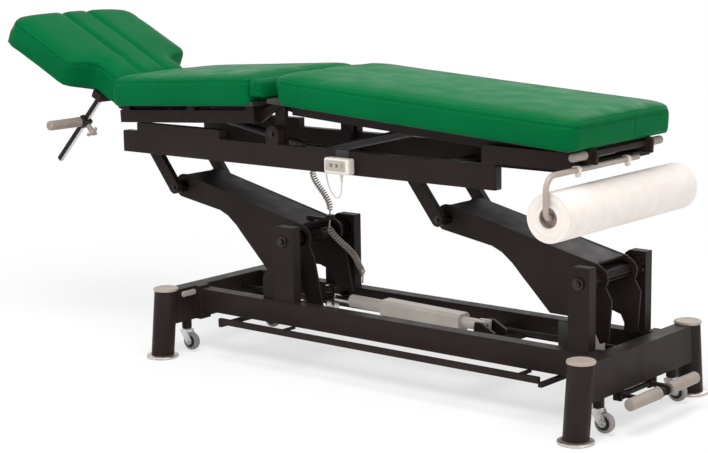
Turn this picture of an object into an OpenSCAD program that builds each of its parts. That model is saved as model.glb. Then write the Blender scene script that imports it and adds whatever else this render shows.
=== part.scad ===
// Electric treatment table: splayed legs, two parallel lift arms, a beam frame and three cushions.
// X runs from the head end to the foot end, Y away from the side with the handset, Z up.

/* [Base] */
// Distance between leg centres along the table
leg_pitch_x = 1370; // [1250:5:1500]
// Distance between leg centres across the table, measured at the caps
leg_pitch_y = 500; // [460:5:600]
// Height of a leg below its cap
leg_h = 188; // [180:1:200]
// Radius of a leg tube
leg_r = 32; // [28:0.5:36]
// How far a leg foot stands outside its cap
leg_lean = 21; // [10:1:25]
// Radius of a foot ring
ring_r = 45; // [42:0.5:50]
// Height of a foot ring
ring_h = 9; // [6:0.5:12]
// Radius of a leg cap
cap_r = 35; // [33:0.5:38]
// Thickness of a leg cap
cap_t = 8; // [5:0.5:10]
// Width of an end crossbeam along the table
cross_w = 46; // [40:1:56]
// Height of an end crossbeam
cross_h = 96; // [86:1:104]
// Wall of an end crossbeam
cross_wall = 4; // [3:0.5:6]
// Width of a side beam
side_w = 40; // [34:1:46]
// Height of a side beam
side_h = 62; // [54:1:70]
// Outer face of the side beams from the middle
side_y = 155; // [150:1:165]

/* [Lift] */
// Height of the lower arm pivots
pivot_z = 348; // [340:1:370]
// Distance between the two lower arm pivots
pivot_pitch = 945; // [900:5:980]
// Head arm pivot from the middle of the base
head_pivot = 335; // [310:1:360]
// Arm length between pivots
arm_l = 457; // [430:1:470]
// Rise of the arms above level
arm_rise = 13.3; // [12:0.1:15]
// Half the width of an arm
arm_half = 70; // [64:1:74]
// Plate thickness of an arm
arm_plate = 6; // [4:0.5:8]
// Half depth of an arm about its pivot line
arm_deep = 35; // [32:0.5:38]
// Radius of the lower pivot axles
axle_r = 12; // [9:0.5:14]
// Radius of the upper pivot axles
top_axle_r = 9; // [7:0.5:11]
// Running clearance of axles and pins in their bores
run_gap = 0.05; // [0.02:0.01:0.09]
// Width of a head upright
head_post_w = 74; // [66:1:84]
// Width of a foot upright
foot_post_w = 60; // [54:1:70]
// Thickness of an upright
post_t = 30; // [26:1:32]
// Height of an upright top above its pivot
post_over = 40; // [36:1:44]

/* [Frame] */
// Level of the main beams' underside
frame_z = 557; // [550:1:570]
// Height of a main beam
beam_h = 61; // [54:1:66]
// Width of a main beam
beam_w = 26; // [22:1:28]
// Outer face of the main beams from the middle
beam_y = 178; // [176:1:184]
// Head end of the main beams from the middle of the base
beam_head = 912; // [900:1:930]
// Foot end of the main beams from the middle of the base
beam_foot = 392; // [380:1:420]
// Foot end of the end rails from the middle of the base
rail_foot = 611; // [600:1:625]
// Section hinge axis from the middle of the base, towards the head
hinge_back = 335; // [325:1:345]
// Height of the section hinge axis
hinge_z = 645; // [642:0.5:650]

/* [Sections] */
// Slope of the middle section
mid_slope = 3.3; // [2.5:0.1:4]
// Slope of the long section
long_slope = 3.73; // [3.4:0.01:3.9]
// Rise of the head section above level
head_rise = 26; // [10:0.5:35]
// Length of the middle section from its hinge to the head hinge
mid_l = 600; // [590:1:610]
// Length of the long section from its hinge
long_l = 982; // [975:1:990]
// How far the middle cushion reaches from its hinge towards the head
mid_reach = 566; // [560:1:580]
// Length of the head section
head_l = 460; // [420:1:480]
// Half width of the middle and long cushions
cushion_half = 244; // [225:1:250]
// Height of the middle cushion's side
mid_side = 66; // [55:1:75]
// Height of the long cushion's side
long_side = 58; // [50:1:70]
// Height of the head cushion's side
head_side = 70; // [55:1:78]
// Thickness of the boards
board_t = 12; // [9:0.5:15]

/* [Roll] */
// Radius of the paper roll
roll_r = 60; // [45:1:60]
// Length of the paper roll
roll_l = 590; // [500:5:594]
// Radius of the roll's core
core_r = 22; // [19:0.5:26]
// Radius of the holder bar
holder_r = 7; // [5:0.5:8]

/* [Casters] */
// Radius of a caster wheel
wheel_r = 25; // [22:0.5:26]
// Width of a caster wheel
wheel_w = 20; // [16:0.5:22]
// Gap between a raised wheel and the floor
wheel_lift = 4; // [2:0.5:6]
// Trail of a caster
trail = 18; // [14:0.5:20]

/* [Hidden] */
$fn = 48;

// Colours as the object shows them
black = "#352B29";
taupe = "#B5A69C";
zinc = "#BFC1C2";
green = "#00834B";
cream = "#E9E2D6";
tyre_grey = "#8E8886";

// The origin is midway along the table on the floor; the base sits towards the foot end
base_x = 292;
over = 1;
sides = [-1, 1];
ends = [-1, 1];

leg_x = leg_pitch_x / 2;
leg_y = leg_pitch_y / 2;
lean_angle = atan(leg_lean / leg_h);
cross_x = leg_x - cross_w / 2;
cross_z = leg_h - cross_h;
side_rise = 27;
side_z = cross_z + side_rise;
side_top = side_z + side_h;
side_in = side_y - side_w;
post_y = side_in + post_t;
post_top = pivot_z + post_over;
foot_pivot = pivot_pitch - head_pivot;
top_dx = arm_l * cos(arm_rise);
top_dz = arm_l * sin(arm_rise);
top_z = pivot_z + top_dz;
beam_in = beam_y - beam_w;
beam_top = frame_z + beam_h;

// Every part is drawn about the middle of the base and then moved to the shared origin
module placed() translate([base_x, 0, 0]) children();

// A box from its low corner to its high corner
module span(low, high) translate(low) cube(high - low);

// A cylinder along Y from y0 to y1 about the axis at x, z
module bar_y(x, z, r, y0, y1) translate([x, y1, z]) rotate([90, 0, 0]) cylinder(r = r, h = y1 - y0);

// A cylinder along X from x0 to x1 about the axis at y, z
module bar_x(y, z, r, x0, x1) translate([x0, y, z]) rotate([0, 90, 0]) cylinder(r = r, h = x1 - x0);

// A plate in the XZ plane, from y0 to y1
module plate_y(points, y0, y1)
  translate([0, y1, 0]) rotate([90, 0, 0]) linear_extrude(y1 - y0) polygon(points);

// Points of an arc in the XZ plane
function arc(c, r, a0, a1, n) = [for (i = [0:n]) let (a = a0 + (a1 - a0) * i / n) c + r * [cos(a), sin(a)]];

// Legs lean outwards; each is trimmed level at its foot ring and its cap
module leg_solid(ex, sy, r)
  intersection() {
    translate([ex * leg_x, sy * leg_y, leg_h]) rotate([sy * lean_angle, 0, 0])
      translate([0, 0, -leg_h * 1.2]) cylinder(r = r, h = leg_h * 1.4);
    translate([ex * leg_x, sy * leg_y, 0]) span([-leg_r * 2, -leg_r * 3, ring_h], [leg_r * 2, leg_r * 3, leg_h]);
  }

module legs() color(black) placed() for (ex = ends, sy = sides) leg_solid(ex, sy, leg_r);

ring_lip = 3;
module foot_rings() color(taupe) placed()
  for (ex = ends, sy = sides) translate([ex * leg_x, sy * (leg_y + leg_lean), 0])
    rotate_extrude() polygon([[0, 0], [ring_r - ring_lip, 0], [ring_r, ring_lip / 2], [ring_r, ring_h - ring_lip],
      [ring_r - ring_lip, ring_h], [0, ring_h]]);

// Oval plug that closes a socket in the head crossbeam
plug_y = -186;
plug_z = 172;
plug_half = 28;
plug_r = 8;
plug_t = 6;
cap_edge = 2;
module leg_caps() color(taupe) placed() {
  for (ex = ends, sy = sides) translate([ex * leg_x, sy * leg_y, leg_h])
    rotate_extrude() polygon([[0, 0], [cap_r, 0], [cap_r, cap_t - cap_edge], [cap_r - cap_edge, cap_t], [0, cap_t]]);
  translate([-cross_x, plug_y, plug_z]) rotate([0, 90, 0]) linear_extrude(plug_t)
    union() {
      for (s = sides) translate([0, s * (plug_half - plug_r)]) circle(plug_r);
      square([plug_r * 2, (plug_half - plug_r) * 2], center = true);
    }
}

// End crossbeams are closed box tubes; the caster beam moves inside, its posts pass through the floor wall
caster_x = leg_x;
caster_y = 172;
caster_post_r = 14;
post_slip = 0.6;
caster_stroke = 12;
carrier_w = 34;
carrier_h = 26;
carrier_z = cross_z + cross_wall + caster_stroke + 1;
link_y = 45;
link_r = 6;
link_slot = 14;
lug_half = 8;
pedal_axle_x = leg_x + 12;
pedal_axle_z = cross_z - 14;
pedal_axle_r = 7;
pedal_lugs = [-100, 60];
module crossbeam(ex)
  difference() {
    span([-cross_w / 2, -leg_y, cross_z], [cross_w / 2, leg_y, leg_h]);
    span([-cross_w / 2 + cross_wall, -leg_y + leg_r, cross_z + cross_wall],
      [cross_w / 2 - cross_wall, leg_y - leg_r, leg_h - cross_wall]);
    for (sy = sides) {
      translate([-ex * leg_x, 0, 0]) leg_solid(ex, sy, leg_r);
      translate([0, sy * caster_y, cross_z - over]) cylinder(r = caster_post_r + post_slip, h = cross_wall + over * 2);
    }
    translate([-ex * cross_w / 2, link_y, link_z]) rotate([0, 90, 0])
      cylinder(r = link_r + post_slip, h = cross_wall * 4, center = true);
  }

module head_crossbeam() color(black) placed() translate([-leg_x, 0, 0]) crossbeam(-1);

lug_t = 8;
module foot_crossbeam() color(black) placed() {
  translate([leg_x, 0, 0]) crossbeam(1);
  // Lugs that carry the pedal axle
  for (y = pedal_lugs) difference() {
    span([pedal_axle_x - lug_half * 1.5, y - lug_t, pedal_axle_z - lug_half * 1.4],
      [leg_x + cross_w / 2, y, cross_z]);
    bar_y(pedal_axle_x, pedal_axle_z, pedal_axle_r + run_gap, y - lug_t - over, y + over);
  }
}

// Two side beams with their end plates, the actuator's cross member and the control box tray
end_plate = 18;
tray_x = 490;
tray_w = 112;
tray_t = 6;
bracket_x = 215;
bracket_w = 70;
bracket_t = 26;
link_z = side_z + bracket_t + link_r + 1;
module side_beams() color(black) placed() {
  for (sy = sides) {
    mirror([0, sy < 0 ? 1 : 0, 0]) {
      span([-cross_x + end_plate, side_in, side_z], [cross_x - end_plate, side_y, side_top]);
      for (ex = ends) mirror([ex < 0 ? 1 : 0, 0, 0])
        span([cross_x - end_plate, side_in, cross_z], [cross_x, side_y + 2, leg_h]);
    }
  }
  span([bracket_x, -side_in, side_z], [bracket_x + bracket_w, side_in, side_z + bracket_t]);
  span([tray_x, -side_in, side_z], [tray_x + tray_w, side_in, side_z + tray_t]);
}

// Uprights that carry the lower pivots
post_chamfer = 8;
gusset_w = 46;
gusset_h = 120;
gusset_t = 8;
module upright_pair(x, w)
  for (sy = sides) mirror([0, sy < 0 ? 1 : 0, 0]) difference() {
    plate_y([[x - w / 2, side_top], [x + w / 2, side_top], [x + w / 2, post_top], [x - w / 2 + post_chamfer * 1.5, post_top],
      [x - w / 2, post_top - post_chamfer]], side_in, post_y);
    bar_y(x, pivot_z, axle_r, side_in - over, post_y + over);
  }

module head_uprights() color(black) placed() {
  upright_pair(-head_pivot, head_post_w);
  for (sy = sides) mirror([0, sy < 0 ? 1 : 0, 0])
    plate_y([[-head_pivot - head_post_w / 2 - gusset_w, side_top], [-head_pivot - head_post_w / 2, side_top],
      [-head_pivot - head_post_w / 2, side_top + gusset_h], [-head_pivot - head_post_w / 2 - gusset_w, side_top + gusset_h / 2]],
      post_y - gusset_t * 2, post_y - gusset_t);
}

module foot_uprights() color(black) placed() upright_pair(foot_pivot, foot_post_w);

// Lower pivot axles with a bolt head outside each upright
bolt_r = 16;
bolt_t = 5;
module pivot_axles() color(black) placed()
  for (x = [-head_pivot, foot_pivot]) {
    bar_y(x, pivot_z, axle_r, -post_y, post_y);
    for (sy = sides) mirror([0, sy < 0 ? 1 : 0, 0]) bar_y(x, pivot_z, bolt_r, post_y, post_y + bolt_t);
  }

// Control box on its tray, with a mains inlet, and the cord gland on the far side beam
box_low = [tray_x + 4, -56, side_z + tray_t];
box_size = [106, 52, 102];
inlet_r = 10;
inlet_t = 6;
cord_r = 9;
cord_foot = [-286, 135, side_top];
gland_h = 10;
gland_r = 12;
module control_box() color(taupe) placed() {
  translate(box_low) cube(box_size);
  translate(box_low + [box_size[0] / 4, box_size[1] / 2, box_size[2]]) cylinder(r = inlet_r, h = inlet_t);
  translate(cord_foot) cylinder(r = gland_r, h = gland_h);
}

// Actuator: body pinned to a wedge bracket, rod end pushes the crank of the head arm
act_foot = [235, 165];
crank = [50, -172];
act_tip = [-head_pivot, pivot_z] + crank;
act_v = act_foot - act_tip;
act_l = norm(act_v);
act_tilt = atan2(act_v[1], act_v[0]);
act_pin_r = 6;
wedge_t = 10;
wedge_y = 22;
module actuator_bracket() color(black) placed() {
  for (sy = sides) mirror([0, sy < 0 ? 1 : 0, 0]) difference() {
    plate_y([[act_foot[0] - 16, side_z + bracket_t], [bracket_x + bracket_w, side_z + bracket_t],
      [bracket_x + bracket_w, act_foot[1] - 8], [act_foot[0] + 10, act_foot[1] + 14], [act_foot[0] - 12, act_foot[1] + 14]],
      wedge_y, wedge_y + wedge_t);
    bar_y(act_foot[0], act_foot[1], act_pin_r, wedge_y - over, wedge_y + wedge_t + over);
  }
  bar_y(act_foot[0], act_foot[1], act_pin_r, -wedge_y - wedge_t, wedge_y + wedge_t);
}

// Runs along the actuator from the crank pin, in its own frame: X along the rod, Z up
module along_actuator() translate([act_tip[0], 0, act_tip[1]]) rotate([0, -act_tilt, 0]) children();

crank_pin_r = 7;
yoke_half = 32;
yoke_w = 34;
yoke_t = 20;
slot_half = 24;
slot_w = crank_pin_r * 2 + 7;
rod_r = 10;
tube_start = 72;
tube_r = 17;
body_start = 190;
body_end = 452;
body_half = 25;
body_high = 23;
rod_in = 380;
cavity_end = 438;
eye_r = 15;
body_edge = 8;
module actuator_body() color(taupe) placed() along_actuator() difference() {
  union() {
    bar_x(0, 0, tube_r, tube_start, body_start);
    translate([body_start, 0, 0]) rotate([90, 0, 90]) linear_extrude(body_end - body_start)
      polygon([[-body_half, -body_high + body_edge], [-body_half + body_edge, -body_high], [body_half - body_edge, -body_high],
        [body_half, -body_high + body_edge], [body_half, body_high - body_edge], [body_half - body_edge, body_high],
        [-body_half + body_edge, body_high], [-body_half, body_high - body_edge]]);
    bar_x(0, 0, eye_r, body_end, act_l - eye_r - 2);
    for (sy = sides) mirror([0, sy < 0 ? 1 : 0, 0])
      span([act_l - eye_r - 8, 6, -eye_r], [act_l + eye_r * 0.6, 16, eye_r]);
  }
  bar_x(0, 0, rod_r + run_gap, tube_start - over, cavity_end);
  bar_y(act_l, 0, act_pin_r + run_gap, -eye_r * 2, eye_r * 2);
}

module actuator_rod() color(zinc) placed() along_actuator() {
  bar_x(0, 0, rod_r, yoke_w / 2, rod_in);
  difference() {
    span([-yoke_w / 2, -yoke_t / 2, -yoke_half], [yoke_w / 2, yoke_t / 2, yoke_half]);
    span([-slot_w / 2, -yoke_t / 2 - over, -slot_half], [slot_w / 2, yoke_t / 2 + over, slot_half]);
  }
}

// Bell-crank lift arm, drawn from its lower pivot with its upper pivot towards the head end
hub_r = 21;
flange_r = 27;
flange_t = 10;
flange_y = side_in - 2;
hub_arc = 34;
top_hub_r = 17;
hanger_in = 95;
arm_top_y = hanger_in - 1.5;
arm_u = [cos(arm_rise), sin(arm_rise)];
arm_n = [-arm_u[1], arm_u[0]];
// Lower edge of the arm plate as shares of the arm length, from the lower pivot
waist_shares = [[-0.665, 0.103], [-0.6, 0.075], [-0.53, 0.022], [-0.46, -0.05], [-0.39, -0.118], [-0.285, -0.223]];
nose_shares = [[-0.1, -0.225], [-0.02, -0.25], [0.055, -0.41], [0.165, -0.41], [0.1, -0.11]];
foot_nose_shares = [[-0.1, -0.225], [-0.02, -0.25], [0.03, -0.35], [0.083, -0.33], [0.1, -0.11]];
function arm_at(share) = [share[0], share[1]] * arm_l;
arm_tip = [-top_dx, top_dz];
function arm_outline(nose) = concat(
  [[hub_arc * sin(arm_rise), arm_deep * 1.02], arm_tip + [arm_n[0] * -1, arm_n[1]] * arm_deep],
  arc(arm_tip, arm_deep, 90 + arm_rise, 245, 8),
  [for (s = waist_shares) arm_at(s)], [for (s = nose) arm_at(s)],
  arc([0, 0], hub_arc, -35, 75, 8));
module arm_shape(nose) {
  for (sy = sides) mirror([0, sy < 0 ? 1 : 0, 0]) plate_y(arm_outline(nose), arm_half - arm_plate, arm_half);
  // Top plate between the side plates
  rotate([0, arm_rise, 0]) span([-arm_l, -arm_half + arm_plate / 2, arm_deep - arm_plate],
    [-hub_arc * 0.3, arm_half - arm_plate / 2, arm_deep]);
  bar_y(0, 0, hub_r, -flange_y, flange_y);
  for (sy = sides) mirror([0, sy < 0 ? 1 : 0, 0]) bar_y(0, 0, flange_r, flange_y - flange_t, flange_y);
  bar_y(arm_tip[0], arm_tip[1], top_hub_r, -arm_top_y, arm_top_y);
}
module arm_bores() {
  bar_y(0, 0, axle_r + run_gap, -flange_y - over, flange_y + over);
  bar_y(arm_tip[0], arm_tip[1], top_axle_r + run_gap, -arm_top_y - over, arm_top_y + over);
}

// The head arm carries the crank pin and the clip of the curly cord
clip_at = [-288, 0, 400];
clip_r = 13;
clip_h = 12;
clip_arm = 8;
module head_arm() color(black) placed() {
  translate([-head_pivot, 0, pivot_z]) difference() {
    arm_shape(nose_shares);
    arm_bores();
  }
  bar_y(act_tip[0], act_tip[1], crank_pin_r, -arm_half + arm_plate / 2, arm_half - arm_plate / 2);
  translate(clip_at - [0, 0, clip_h / 2]) cylinder(r = clip_r, h = clip_h);
  span([-head_pivot - arm_deep, clip_at[1] - clip_arm / 2, clip_at[2] - clip_h],
    [clip_at[0] - clip_r * 0.8, clip_at[1] + clip_arm / 2, clip_at[2] - clip_h / 4]);
}

module foot_arm() color(black) placed() translate([foot_pivot, 0, pivot_z]) difference() {
  arm_shape(foot_nose_shares);
  arm_bores();
}

// Upper frame: two main beams with a raised seat under the middle section
seat_x = [-855, -530];
seat_h = 25;
module main_beams() color(black) placed()
  for (sy = sides) mirror([0, sy < 0 ? 1 : 0, 0]) {
    span([-beam_head, beam_in, frame_z], [beam_foot, beam_y, beam_top]);
    span([seat_x[0], beam_in, beam_top], [seat_x[1], beam_y, beam_top + seat_h]);
  }

// Cross members: one over each hanger pair, one for each gas spring
member_w = 40;
member_h = 22;
hanger_dx = 80;
hanger_top = [-head_pivot - top_dx - hanger_dx, foot_pivot - top_dx - hanger_dx];
spring_member_x = -315;
spring_foot_z = 590;
member_gap = 18;
long_spring_foot = [spring_member_x + member_w / 2 + member_gap, spring_foot_z];
mid_spring_foot = [spring_member_x - member_w / 2 - member_gap, spring_foot_z];
spring_y = 62;
lug_w = 20;
lug_r = 12;
spring_pin_r = 4;
eye_w = 7;
lug_slip = 0.3;
lug_plate = 5;
long_lug_y = [spring_y - eye_w - lug_slip - lug_plate, spring_y - eye_w - lug_slip];
mid_lug_y = [eye_w + lug_slip, eye_w + lug_slip + lug_plate];
module spring_lugs(foot, toward, ys)
  difference() {
    union() {
      bar_y(foot[0], foot[1], lug_r, ys[0], ys[1]);
      span([min(foot[0], foot[0] + toward * (member_gap + lug_r)), ys[0], foot[1] - lug_r],
        [max(foot[0], foot[0] + toward * (member_gap + lug_r)), ys[1], foot[1] + lug_r * 0.6]);
    }
    bar_y(foot[0], foot[1], spring_pin_r, ys[0] - over, ys[1] + over);
  }
module cross_members() color(black) placed() {
  for (x = hanger_top) span([x - member_w / 2, -beam_in, frame_z], [x + member_w / 2, beam_in, frame_z + member_h]);
  span([spring_member_x - member_w / 2, -beam_in, frame_z], [spring_member_x + member_w / 2, beam_in, frame_z + member_h]);
  for (sy = sides) mirror([0, sy < 0 ? 1 : 0, 0]) {
    spring_lugs(long_spring_foot, -1, long_lug_y);
    bar_y(long_spring_foot[0], long_spring_foot[1], spring_pin_r, long_lug_y[0], spring_y + eye_w + 1);
    spring_lugs(mid_spring_foot, 1, mid_lug_y);
  }
  bar_y(mid_spring_foot[0], mid_spring_foot[1], spring_pin_r, -mid_lug_y[1], mid_lug_y[1]);
}

// Hangers lean from the cross members down to the upper pivots
hanger_w = 36;
hanger_t = 18;
module hangers() color(black) placed()
  for (x = hanger_top) {
    p = [x + hanger_dx, top_z];
    q = [x, frame_z];
    lean = atan2(q[1] - p[1], q[0] - p[0]);
    side_run = hanger_w / 2 / sin(180 - lean);
    n = [sin(lean), -cos(lean)] * hanger_w / 2;
    for (sy = sides) mirror([0, sy < 0 ? 1 : 0, 0])
      plate_y(concat([[q[0] - side_run, q[1]]], arc(p, hanger_w / 2, lean + 90, lean + 270, 12), [[q[0] + side_run, q[1]]]),
        hanger_in, hanger_in + hanger_t);
    bar_y(p[0], p[1], top_axle_r, -hanger_in, hanger_in);
  }

// Hinge posts on the main beams; inside each a riser carries the stub axle of the two sections
hinge_post_w = 45;
hinge_axle_r = 8;
hinge_up = 83;
ear_t = 8;
ear_gap = 0.5;
riser_w = 36;
riser_t = 13;
mid_ear_y = beam_in - ear_t - ear_gap;
riser_y = mid_ear_y - riser_t - ear_gap;
long_ear_y = riser_y - ear_gap;
module hinge_posts() color(black) placed()
  for (sy = sides) mirror([0, sy < 0 ? 1 : 0, 0]) {
    span([-hinge_back - hinge_post_w / 2, beam_in, beam_top], [-hinge_back + hinge_post_w / 2, beam_y, hinge_z]);
    bar_y(-hinge_back, hinge_z, hinge_post_w / 2, beam_in, beam_y);
    span([-hinge_back - riser_w / 2, riser_y, beam_top - riser_w], [-hinge_back + riser_w / 2, riser_y + riser_t, hinge_z + hinge_up]);
    bar_y(-hinge_back, hinge_z + hinge_up, riser_w / 2, riser_y, riser_y + riser_t);
    span([-hinge_back - riser_w / 2, riser_y + riser_t, beam_top - riser_w], [-hinge_back + riser_w / 2, beam_in, beam_top]);
    bar_y(-hinge_back, hinge_z + hinge_up, hinge_axle_r, long_ear_y - ear_t - 1, beam_in);
  }

// End rails carry the foot of the long section, the end bar and the roll holder
rail_z = 622;
rail_h = 42;
rail_bar_w = 33;
rail_bar_h = 13.6;
ear_w = 41;
ear_r = 14;
rail_start = beam_foot - ear_w;
module end_rails() color(black) placed() {
  for (sy = sides) mirror([0, sy < 0 ? 1 : 0, 0]) {
    plate_y(concat([[rail_start, beam_top], [beam_foot, beam_top]], [[beam_foot, rail_z], [rail_foot, rail_z],
      [rail_foot, rail_z + rail_h], [rail_start + ear_r, rail_z + rail_h + 3]],
      arc([rail_start + ear_r, rail_z + rail_h + 3 - ear_r], ear_r, 90, 180, 6)), beam_in, beam_y);
  }
  span([rail_foot - rail_bar_w, -beam_in, rail_z], [rail_foot, beam_in, rail_z + rail_bar_h]);
}

// White clips hold the roll bar on the end bar; the frame gland takes the curly cord
holder_x = rail_foot + 10;
holder_z = 626;
clip_ys = [-172, 50];
roll_clip_w = 12;
roll_clip_r = 10;
frame_gland = [-320, -30, frame_z];
cable_gland = [-156, -165, frame_z];
cable_gland_r = 5;
cable_gland_h = 4;
module frame_clips() color(cream) placed() {
  for (y = clip_ys) difference() {
    union() {
      bar_y(holder_x, holder_z, roll_clip_r, y - roll_clip_w / 2, y + roll_clip_w / 2);
      span([rail_foot, y - roll_clip_w / 2, rail_z], [holder_x, y + roll_clip_w / 2, rail_z + rail_bar_h - 1]);
      bar_y(holder_x + 3, holder_z - 12, 5, y - roll_clip_w / 2, y + roll_clip_w / 2);
    }
    bar_y(holder_x, holder_z, holder_r + run_gap, y - roll_clip_w, y + roll_clip_w);
  }
  translate(frame_gland - [0, 0, gland_h]) cylinder(r = gland_r, h = gland_h);
  translate(cable_gland - [0, 0, cable_gland_h]) cylinder(r = cable_gland_r, h = cable_gland_h);
}

// Holder bar: straight across, bent down outside the roll and into its core
roll_z = 529;
roll_half = roll_l / 2;
holder_out = roll_half + holder_r + 1.5;
holder_bend = 34;
holder_far = 102;
spindle_r = core_r - 6;
// Quarter bend in the YZ plane about a centre, from angle a
module elbow(y, z, r, a) translate([holder_x, y, z]) rotate([90, 0, 90]) rotate([0, 0, a])
  rotate_extrude(angle = 90) translate([r, 0]) circle(holder_r);
hub_w = 10;
hub_in = 16;
module roll_holder() color(taupe) placed() {
  bar_y(holder_x, holder_z, holder_r, -holder_out + holder_bend, holder_far);
  elbow(-holder_out + holder_bend, holder_z - holder_bend, holder_bend, 90);
  translate([holder_x, -holder_out, roll_z + holder_r * 2])
    cylinder(r = holder_r, h = holder_z - holder_bend - roll_z - holder_r * 2);
  elbow(-holder_out + holder_r * 2, roll_z + holder_r * 2, holder_r * 2, 180);
  bar_y(holder_x, roll_z, holder_r, -holder_out + holder_r * 2, roll_half - hub_in);
  // Hub discs that the core turns on
  for (y = [-roll_half + hub_in, roll_half - hub_in - hub_w]) bar_y(holder_x, roll_z, core_r - hub_slip, y, y + hub_w);
}
hub_slip = 0.3;

module paper_roll() color(cream) placed() difference() {
  bar_y(holder_x, roll_z, roll_r, -roll_half, roll_half);
  bar_y(holder_x, roll_z, core_r, -roll_half - over, roll_half + over);
}

// Handset clipped to the near main beam
hand_low = [-131, -beam_y - 27, 560];
hand_size = [84, 26, 42];
hand_edge = 5;
relief_x = -82;
relief_h = 22;
relief_r = 4;
button_r = 5;
button_travel = 1.5;
button_out = 2;
button_deep = 6;
button_slip = 0.4;
button_xs = [-106, -88];
button_z = 583;
hook_t = 3;
module handset() color(cream) placed() {
  difference() {
    translate(hand_low) rotate([90, 0, 90]) linear_extrude(hand_size[0])
      polygon([[0, hand_edge], [hand_edge, 0], [hand_size[1], 0], [hand_size[1], hand_size[2]],
        [hand_edge, hand_size[2]], [0, hand_size[2] - hand_edge]]);
    for (x = button_xs) bar_y(x, button_z, button_r + button_slip, hand_low[1] - over, hand_low[1] + button_deep + button_travel * 2);
  }
  translate([relief_x, hand_low[1] + hand_size[1] / 2, hand_low[2] - relief_h])
    cylinder(r1 = relief_r * 0.7, r2 = relief_r, h = relief_h);
  // Hook over the beam
  span([hand_low[0] + 20, -beam_y - 1, hand_low[2] + hand_size[2] - 6],
    [hand_low[0] + hand_size[0] - 20, -beam_y, beam_top + hook_t]);
  span([hand_low[0] + 20, -beam_y, beam_top], [hand_low[0] + hand_size[0] - 20, -beam_y + 16, beam_top + hook_t]);
}
module hand_button(x) color(black) placed()
  bar_y(x, button_z, button_r, hand_low[1] - button_out, hand_low[1] + button_deep);
module up_button() hand_button(button_xs[0]);
module down_button() hand_button(button_xs[1]);

// Sweep of a round tube along points with the same number of sides at every point
function unit(v) = v / norm(v);
function lerp(a, b, t) = a + (b - a) * t;
function path_dir(p, i) = unit(p[min(i + 1, len(p) - 1)] - p[max(i - 1, 0)]);
function ring_at(c, d, r, n, up) = let (a = unit(cross(d, up)), b = cross(a, d))
  [for (k = [0:n - 1]) c + r * (cos(360 * k / n) * a + sin(360 * k / n) * b)];
function tube_faces(n, m) = concat([[for (k = [0:n - 1]) k]],
  [for (i = [0:m - 2], k = [0:n - 1]) [i * n + k, (i + 1) * n + k, i * n + (k + 1) % n]],
  [for (i = [0:m - 2], k = [0:n - 1]) [(i + 1) * n + k, (i + 1) * n + (k + 1) % n, i * n + (k + 1) % n]],
  [[for (k = [0:n - 1]) (m - 1) * n + n - 1 - k]]);
module tube(p, r, n, up)
  polyhedron([for (i = [0:len(p) - 1]) each ring_at(p[i], path_dir(p, i), r, n, up)], tube_faces(n, len(p)));

// Handset cable: a loop below the main beam, from the strain relief to its gland
cable_r = 2;
cable_route = [[-82, -192, 538], [-82, -192, 530], [-83, -192, 520], [-87, -190, 508], [-94, -188, 499],
  [-103, -185, 495], [-114, -181, 496], [-126, -177, 502], [-137, -173, 511], [-147, -169, 523],
  [-153, -166, 535], [-156, -165, 545], [-156, -165, 553]];
module handset_cable() color(cream) placed() tube(cable_route, cable_r, 8, [0, 1, 0]);

// Curly cord: one unbroken helix about a hand-laid line, in two lengths that meet at the arm's clip
wire_r = 1.8;
curl_r = cord_r - wire_r;
lower_line = [[-286, 135, 191], [-286, 135, 222], [-278, 108, 252], [-268, 78, 282], [-269, 48, 310],
  [-280, 20, 338], [-288, 0, 366], [-288, 0, 393.6]];
upper_line = [[-288, 0, 406], [-288, 0, 434], [-298, -8, 462], [-312, -20, 490], [-320, -30, 518], [-320, -30, 546.6]];
lower_curls = 24;
upper_curls = 14;
curl_steps = 8;
// Point and direction on a line at share t of its points, by a smooth spline
function spline(p, t) = let (m = len(p) - 1, s = min(floor(t * m), m - 1), f = t * m - s,
  a = p[max(s - 1, 0)], b = p[s], c = p[s + 1], d = p[min(s + 2, m)])
  0.5 * (2 * b + (c - a) * f + (2 * a - 5 * b + 4 * c - d) * f * f + (3 * b - a - 3 * c + d) * f * f * f);
lead_share = 0.06;
ease_share = 0.05;
function curl_swell(t) = let (e = min(t, 1 - t) - lead_share) e <= 0 ? 0 : e >= ease_share ? 1 : sin(90 * e / ease_share);
function helix_point(p, t, curls, r) = let (c = spline(p, t), d = unit(spline(p, min(t + 0.01, 1)) - spline(p, max(t - 0.01, 0))),
  a = unit(cross(d, [1, 0, 0])), b = cross(a, d), w = 360 * curls * t)
  c + r * curl_swell(t) * (cos(w) * a + sin(w) * b);
function helix_route(p, curls, r) = [for (i = [0:curls * curl_steps]) helix_point(p, i / (curls * curl_steps), curls, r)];
// Least distance between the wire and its own next turn
function curl_gap(route) = min([for (i = [0:len(route) - 1 - curl_steps]) norm(route[i + curl_steps] - route[i])]) - 2 * wire_r;
module curly_cord_lower() color("#8C7F74") placed() {
  route = helix_route(lower_line, lower_curls, curl_r);
  echo("lower cord self gap", curl_gap(route));
  tube(route, wire_r, 6, [1, 0.2, 0.1]);
}
module curly_cord_upper() color("#8C7F74") placed() {
  route = helix_route(upper_line, upper_curls, curl_r);
  echo("upper cord self gap", curl_gap(route));
  tube(route, wire_r, 6, [1, 0.2, 0.1]);
}

// How far a board stands back from its hinge and edges
board_in = 20;

// Frames of the three sections: each is drawn level from its hinge and then turned
module in_mid() translate([-hinge_back, 0, hinge_z]) rotate([0, -mid_slope, 0]) children();
module in_long() translate([-hinge_back, 0, hinge_z]) rotate([0, long_slope, 0]) children();
head_hinge_w = 78;
module in_head() in_mid() translate([-mid_l, 0, head_hinge_w]) rotate([0, mid_slope + head_rise, 0]) children();

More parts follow.
